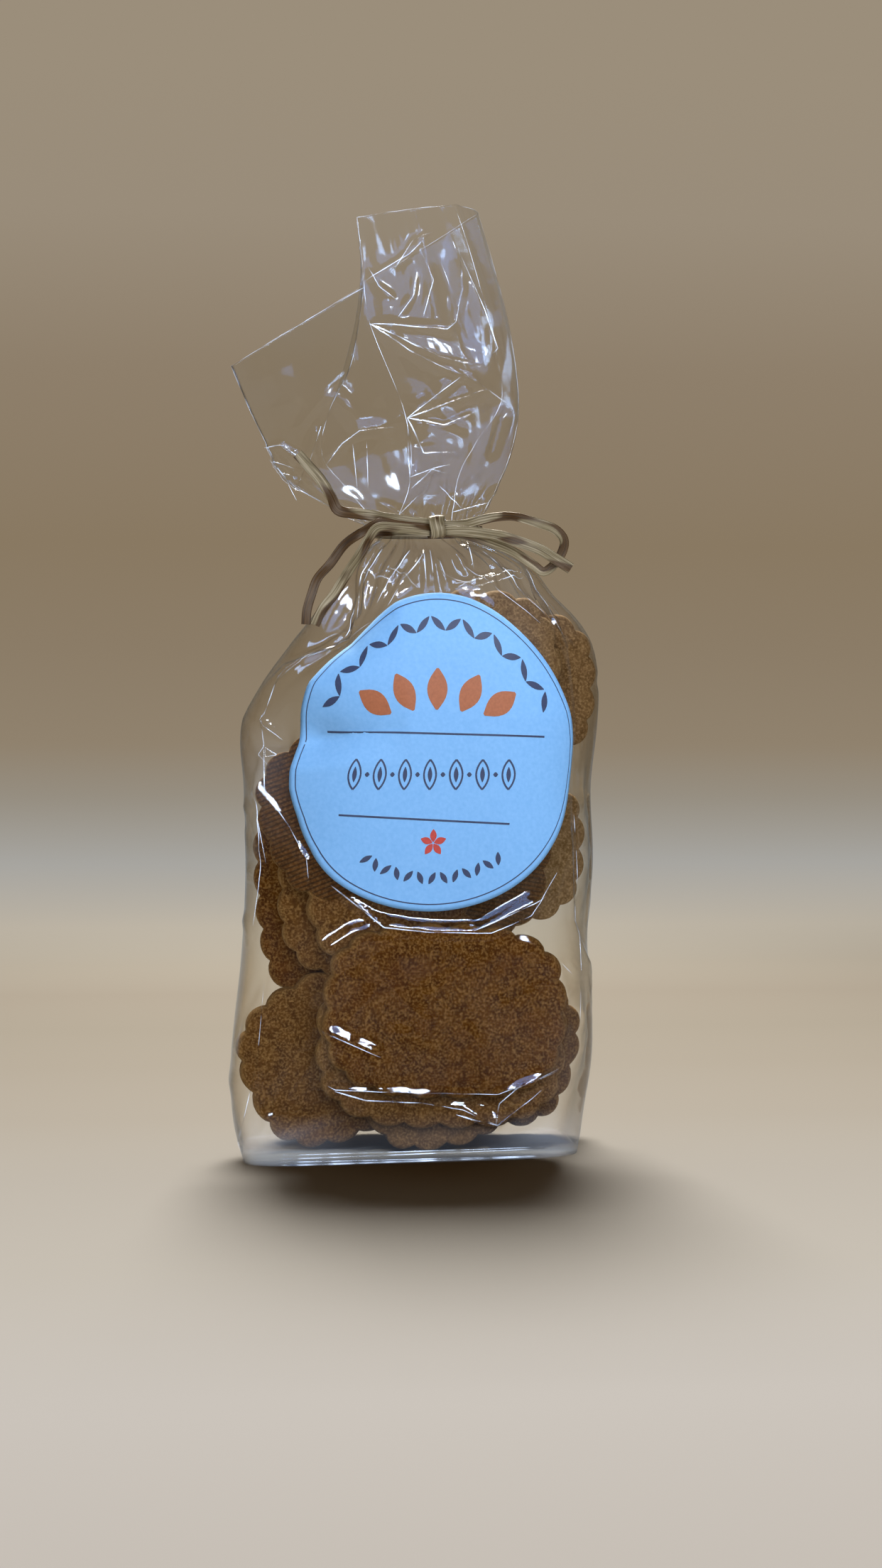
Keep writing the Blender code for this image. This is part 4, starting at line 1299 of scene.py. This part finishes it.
def ribbon_tree(surface):
    """A flat ribbon along a curve, uneven in width, with its fibres' ridges."""
    tree, inputs = geometry_tree("Ribbon", {
        "Width": ("NodeSocketFloat", 0.0),
        "Thickness": ("NodeSocketFloat", 0.0),
        "Twist": ("NodeSocketFloat", 0.0),
        "Browning": ("NodeSocketFloat", 0.0),
        "Seed": ("NodeSocketInt", 0),
    })
    even = add(tree, "GeometryNodeResampleCurve", {
        "Curve": inputs.outputs["Geometry"], "Length": STRAND_STEP * MM,
    }, mode="LENGTH")
    place = add(tree, "GeometryNodeSplineParameter")
    kept = add(tree, "GeometryNodeStoreNamedAttribute", {
        "Geometry": even, "Name": "along", "Value": place.outputs["Length"],
    }, data_type="FLOAT", domain="POINT")
    facing = add(tree, "GeometryNodeSetCurveNormal", {"Curve": kept, "Normal": (0, -1, 0)}, mode="FREE")
    # The twist wanders once in 11 mm.
    wander = add(tree, "ShaderNodeTexNoise", {"W": inputs.outputs["Seed"], "Scale": 90.0, "Detail": 1.0},
                 noise_dimensions="4D")
    centred = add(tree, "ShaderNodeMath", {0: wander, 1: 0.5}, operation="SUBTRACT")
    twist = add(tree, "ShaderNodeMath", {0: centred, 1: inputs.outputs["Twist"]}, operation="MULTIPLY")
    tilted = add(tree, "GeometryNodeSetCurveTilt", {"Curve": facing, "Tilt": twist})
    band = add(tree, "GeometryNodeCurvePrimitiveQuadrilateral", {
        "Width": inputs.outputs["Thickness"], "Height": inputs.outputs["Width"],
    }, mode="RECTANGLE")
    points = add(tree, "GeometryNodeResampleCurve", {
        "Curve": band, "Count": STRAND_SIDES,
    }, mode="COUNT")
    position = add(tree, "GeometryNodeInputPosition")
    apart = add(tree, "ShaderNodeSeparateXYZ", {"Vector": position})
    marked = add(tree, "GeometryNodeStoreNamedAttribute", {
        "Geometry": points, "Name": "across", "Value": apart.outputs["Y"],
    }, data_type="FLOAT", domain="POINT")
    swept = add(tree, "GeometryNodeCurveToMesh", {
        "Curve": tilted, "Profile Curve": marked, "Fill Caps": True,
    })
    along, across = (
        add(tree, "GeometryNodeInputNamedAttribute", {"Name": name}, data_type="FLOAT")
        for name in ("along", "across")
    )
    # The ridges are 0.9 mm apart and 33 mm long.
    fibre_place = add(tree, "ShaderNodeCombineXYZ", {
        "X": along, "Y": across, "Z": inputs.outputs["Seed"],
    })
    stretched = add(tree, "ShaderNodeVectorMath", {0: fibre_place, 1: (30.0, 1100.0, 1.0)},
                    operation="MULTIPLY")
    fibre = add(tree, "ShaderNodeTexNoise", {"Vector": stretched, "Scale": 1.0, "Detail": 1.0})
    shape = roughened(tree, swept, fibre, FIBRE_DEPTH * MM)
    for name, value in (("own", "Seed"), ("browning", "Browning")):
        shape = add(tree, "GeometryNodeStoreNamedAttribute", {
            "Geometry": shape, "Name": name, "Value": inputs.outputs[value],
        }, data_type="FLOAT", domain="POINT")
    painted = add(tree, "GeometryNodeSetMaterial", {"Geometry": shape, "Material": surface})
    add(tree, "NodeGroupOutput", {"Geometry": painted})
    return tree


def joined(name, objects):
    """Several mesh objects as one."""
    bpy.ops.object.select_all(action="DESELECT")
    for item in objects:
        item.select_set(True)
    bpy.context.view_layer.objects.active = objects[0]
    bpy.ops.object.join()
    objects[0].name = name
    return objects[0]


# The stage and the lights

CAMERA_SIDE = 10.2
CAMERA_AWAY = 680.0
CAMERA_HEIGHT = 109.0
CAMERA_AZIMUTH = math.radians(-5)
LENS = 52.0
FLOOR_END = 700.0
STAGE_SIDE = 2500
STAGE_FRONT = -1500
STAGE_TOP = 2600
CURVE = 420.0
CURVE_STEPS = 32
# The wall's painted glow takes over from the key light over this distance.
WASH_GROWS = 250
# The backdrop's tones: millimetres back along the floor and up the wall, and the colour seen there,
# light and shade included, which the floor's colour and the wall's glow paint in.
BACKDROP = (
    (-1200, "c8c2ba"), (-280, "cac3bb"), (-170, "c8c0b4"), (-50, "c5bcaf"), (60, "c2b7a7"),
    (200, "c0b4a2"), (330, "beb29f"), (500, "bdb09d"), (700, "bdb2a0"), (830, "bcb3a4"),
    (960, "a7a5a0"), (1070, "968e81"), (1150, "90826e"), (1280, "8b7c67"), (1400, "897962"),
    (1560, "8e7f6b"), (1680, "998c7a"), (1800, "9b8e7b"),
)
KEY_PLACE = (36, 645, 990)
KEY_AIM = (20, -60, 0)
KEY_SIZE = (320, 580)
KEY_POWER = 25.0
KEY_COLOUR = "fff4e4"
FILL_COLOUR = "f0b878"
FILL_STRENGTH = 0.05
LIGHTS_AIM = (0, 0, 130)


def make_stage():
    """A pale floor that curves up into a warmer wall behind."""
    profile = [(STAGE_FRONT, 0), (FLOOR_END, 0)]
    for step in range(1, CURVE_STEPS + 1):
        turn = 0.5 * math.pi * step / CURVE_STEPS
        profile.append((FLOOR_END + CURVE * math.sin(turn), CURVE * (1 - math.cos(turn))))
    profile.append((FLOOR_END + CURVE, STAGE_TOP))
    points = [(x, y, z) for y, z in profile for x in (-STAGE_SIDE, STAGE_SIDE)]
    paper = material("backdrop_paper", backdrop_paper)
    made = object_from("sweep", points, grid_faces(len(profile), 2), paper)
    corners = [
        (STAGE_SIDE, FLOOR_END), (STAGE_SIDE, STAGE_FRONT),
        (-STAGE_SIDE, STAGE_FRONT), (-STAGE_SIDE, FLOOR_END),
    ]
    points = [(x, y, z) for z in (0, STAGE_TOP) for x, y in corners]
    wall = material("painted_wall", painted_wall)
    room = object_from("room", points, grid_faces(2, len(corners)), wall)
    # The walls are only there to be seen from the other sides, and light nothing.
    room.visible_diffuse = room.visible_glossy = room.visible_shadow = False


def painted_wall(tree):
    """A wall that glows though it is no lamp: painted light in the tones of the sweep, paler below and
    browner above, the same in any light.
    """
    place = add(tree, "ShaderNodeTexCoord").outputs["Object"]
    apart = add(tree, "ShaderNodeSeparateXYZ", {"Vector": place})
    colour = add(tree, "ShaderNodeValToRGB", {"Fac": apart.outputs["Z"]}, stops=(
        (0.0, "a29786"), (0.5, "8e7f6b"), (1.0, "998c7a"),
    ))
    return add(tree, "ShaderNodeEmission", {"Color": colour})


def key_share(along):
    """How much of the key light a white floor sends back, at a place along the floor and the curve."""
    if along < FLOOR_END:
        place, lean = Vector((0, along, 0)), 0.0
    else:
        up = min((along - FLOOR_END - CURVE) / CURVE, 1) / math.sqrt(2)
        lean = math.radians(45) + math.asin(up)
        place = Vector((0, FLOOR_END + CURVE * math.sin(lean), CURVE * (1 - math.cos(lean))))
    towards = (Vector(KEY_PLACE) - place) * MM
    normal = Vector((0, -math.sin(lean), math.cos(lean)))
    beam = (Vector(KEY_PLACE) - Vector(KEY_AIM)).normalized()
    share = max(0, normal.dot(towards.normalized())) * max(0, beam.dot(towards.normalized()))
    return KEY_POWER * share / (math.pi**2 * towards.length_squared)


def backdrop_paper(tree):
    """Seamless backdrop paper: matt. The floor is lit by the key light, with the light and shade seen
    there painted into its colour, and the wall glows with painted light though it is no lamp, so both
    keep the seen tones, peach-beige below and browner above."""
    place = add(tree, "ShaderNodeTexCoord").outputs["Object"]
    apart = add(tree, "ShaderNodeSeparateXYZ", {"Vector": place})
    along = add(tree, "ShaderNodeMath", {0: apart.outputs["Y"], 1: apart.outputs["Z"]}, operation="ADD")
    first, last = BACKDROP[0][0], BACKDROP[-1][0]
    share = add(tree, "ShaderNodeMapRange", {
        "Value": along, "From Min": first * MM, "From Max": last * MM,
    })
    fill = [FILL_STRENGTH * value for value in linear(FILL_COLOUR)[:3]]
    paper, wash = [], []
    for where, seen in BACKDROP:
        spot = (where - first) / (last - first)
        wanted = linear(seen)[:3]
        lit = [key_share(where) * value + more for value, more in zip(linear(KEY_COLOUR), fill)]
        # Painted light: the paper's colour is the seen tone divided by what the key and fill give there.
        paper.append((spot, (*(min(0.95, a / b) for a, b in zip(wanted, lit)), 1.0)))
        wash.append((spot, (*wanted, 1.0)))
    lit_tone, painted_glow_tone = (
        add(tree, "ShaderNodeValToRGB", {"Fac": share}, stops=stops) for stops in (paper, wash)
    )
    matt = add(tree, "ShaderNodeBsdfDiffuse", {"Color": lit_tone})
    # The wall is no lamp, yet glows with the seen tones: painted light and shade.
    glow = add(tree, "ShaderNodeEmission", {"Color": painted_glow_tone})
    rising_wash = add(tree, "ShaderNodeMapRange", {
        "Value": along, "From Min": FLOOR_END * MM, "From Max": (FLOOR_END + WASH_GROWS) * MM,
    }, interpolation_type="SMOOTHSTEP")
    return add(tree, "ShaderNodeMixShader", {"Fac": rising_wash, 1: matt, 2: glow})


def area_light(name, place, aim, size, power, hex_colour):
    data = bpy.data.lights.new(name, "AREA")
    data.shape = "RECTANGLE"
    data.size, data.size_y = size[0] * MM, size[1] * MM
    data.energy = power
    data.color = linear(hex_colour)[:3]
    made = linked(name, data)
    made.location = Vector(place) * MM
    made.rotation_euler = (Vector(aim) - Vector(place)).to_track_quat("-Z", "Y").to_euler()
    return made


def make_lights(film_pieces, label_pieces, others):
    """A warm key light high behind the bag, a wide soft light in front for what is in and on the film,
    a cool one for the paper, and a cool window and lamps that glint on the film."""
    area_light("key", KEY_PLACE, KEY_AIM, KEY_SIZE, KEY_POWER, KEY_COLOUR)
    low_film, high_film = film_pieces
    # Name, place, size, power, colour, and the pieces it lights.
    lights = (
        ("front_fill", (-80, -1200, 420), (1100, 700), 9.8, "fff8f0", others),
        ("paper_light", (260, -900, 820), (400, 300), 14.6, "eef4ff", label_pieces),
        ("window", (-60, -1000, 900), (1000, 700), 28.0, "98c4ff", low_film),
        ("high_window", (-60, -1000, 820), (760, 560), 7.0, "80b4ff", high_film),
        ("middle_lamp", (-137, -1000, 540), (150, 110), 1.3, "c0dcff", high_film),
        ("ceiling_lamp", (-100, -330, 1150), (500, 200), 10.0, "c0dcff", low_film),
        ("lamp_left", (-330, -800, 560), (300, 200), 26.0, "f0f6ff", low_film),
        ("lamp_right", (260, -850, 520), (340, 200), 29.0, "f0f6ff", low_film),
        ("high_lamp", (200, -900, 900), (160, 90), 3.6, "e8f2ff", high_film),
    )
    for name, place, size, power, colour, pieces in lights:
        light = area_light(name, place, LIGHTS_AIM, size, power, colour)
        lit = bpy.data.collections.new("lit_by_" + name)
        for piece in pieces:
            lit.objects.link(piece)
        light.light_linking.receiver_collection = lit
    world = bpy.data.worlds.new("studio")
    world.use_nodes = True
    background = world.node_tree.nodes["Background"]
    background.inputs["Color"].default_value = linear(FILL_COLOUR)
    background.inputs["Strength"].default_value = FILL_STRENGTH
    bpy.context.scene.world = world


def make_camera():
    right = Vector((math.cos(CAMERA_AZIMUTH), math.sin(CAMERA_AZIMUTH), 0))
    ahead = Vector((-math.sin(CAMERA_AZIMUTH), math.cos(CAMERA_AZIMUTH), 0))
    data = bpy.data.cameras.new("camera")
    data.lens = LENS
    data.clip_start = 0.01
    made = linked("camera", data)
    made.location = (right * CAMERA_SIDE - ahead * CAMERA_AWAY + Vector((0, 0, CAMERA_HEIGHT))) * MM
    made.rotation_euler = Euler((math.pi / 2, 0, CAMERA_AZIMUTH))
    bpy.context.scene.camera = made


def main():
    make_camera()
    make_stage()
    bpy.context.scene.view_settings.view_transform = "Standard"
    bpy.context.scene.cycles.transparent_max_bounces = 32
    sables = make_sables()
    filled = material("filled_cellophane", cellophane, roughness=0.07, edge_on="e6e0d6", mirror=0.008,
                      haze_most=0.0005, haze_size=17.0)
    opened = material("open_cellophane", cellophane, roughness=0.08, edge_on="f2f1f0", mirror=0.012,
                      haze_most=0.003, haze_size=17.0)
    creased = material("creased_cellophane", cellophane, roughness=0.15, edge_on="e8e6e2", mirror=0.01,
                       haze_most=0.16, haze_size=8.0)
    body, film = make_film_body(sables, filled)
    flare, flare_grid = make_flare(opened)
    creases = make_creases(film, flare_grid, creased)
    label = make_label(film)
    prints = [
        make_print(f"label_{tone}_print", outlines, film, material(tone + "_toner", toner, hex_colour))
        for tone, outlines, hex_colour in (
            ("navy", navy_print(), "2c3858"), ("brown", almond_spray(), "9a5a38"),
            ("red", small_flower(), "b03c34"),
        )
    ]
    raffia = joined("raffia_bow", make_raffia(material("dried_raffia", dried_raffia)))
    film_pieces, label_pieces = (body, flare, creases), (label, *prints)
    for piece in film_pieces:
        finish(piece, "bag")
    finish(sables, "bag")
    for piece in label_pieces:
        finish(piece, "label")
    finish(raffia, "raffia_tie")
    # The lights of the film and the paper reach nothing else by way of them.
    for piece in film_pieces + label_pieces:
        piece.visible_diffuse = False
    for piece in film_pieces:
        piece.visible_shadow = False
    make_lights(((body, creases), (flare, creases)), label_pieces, (sables, raffia))


main()
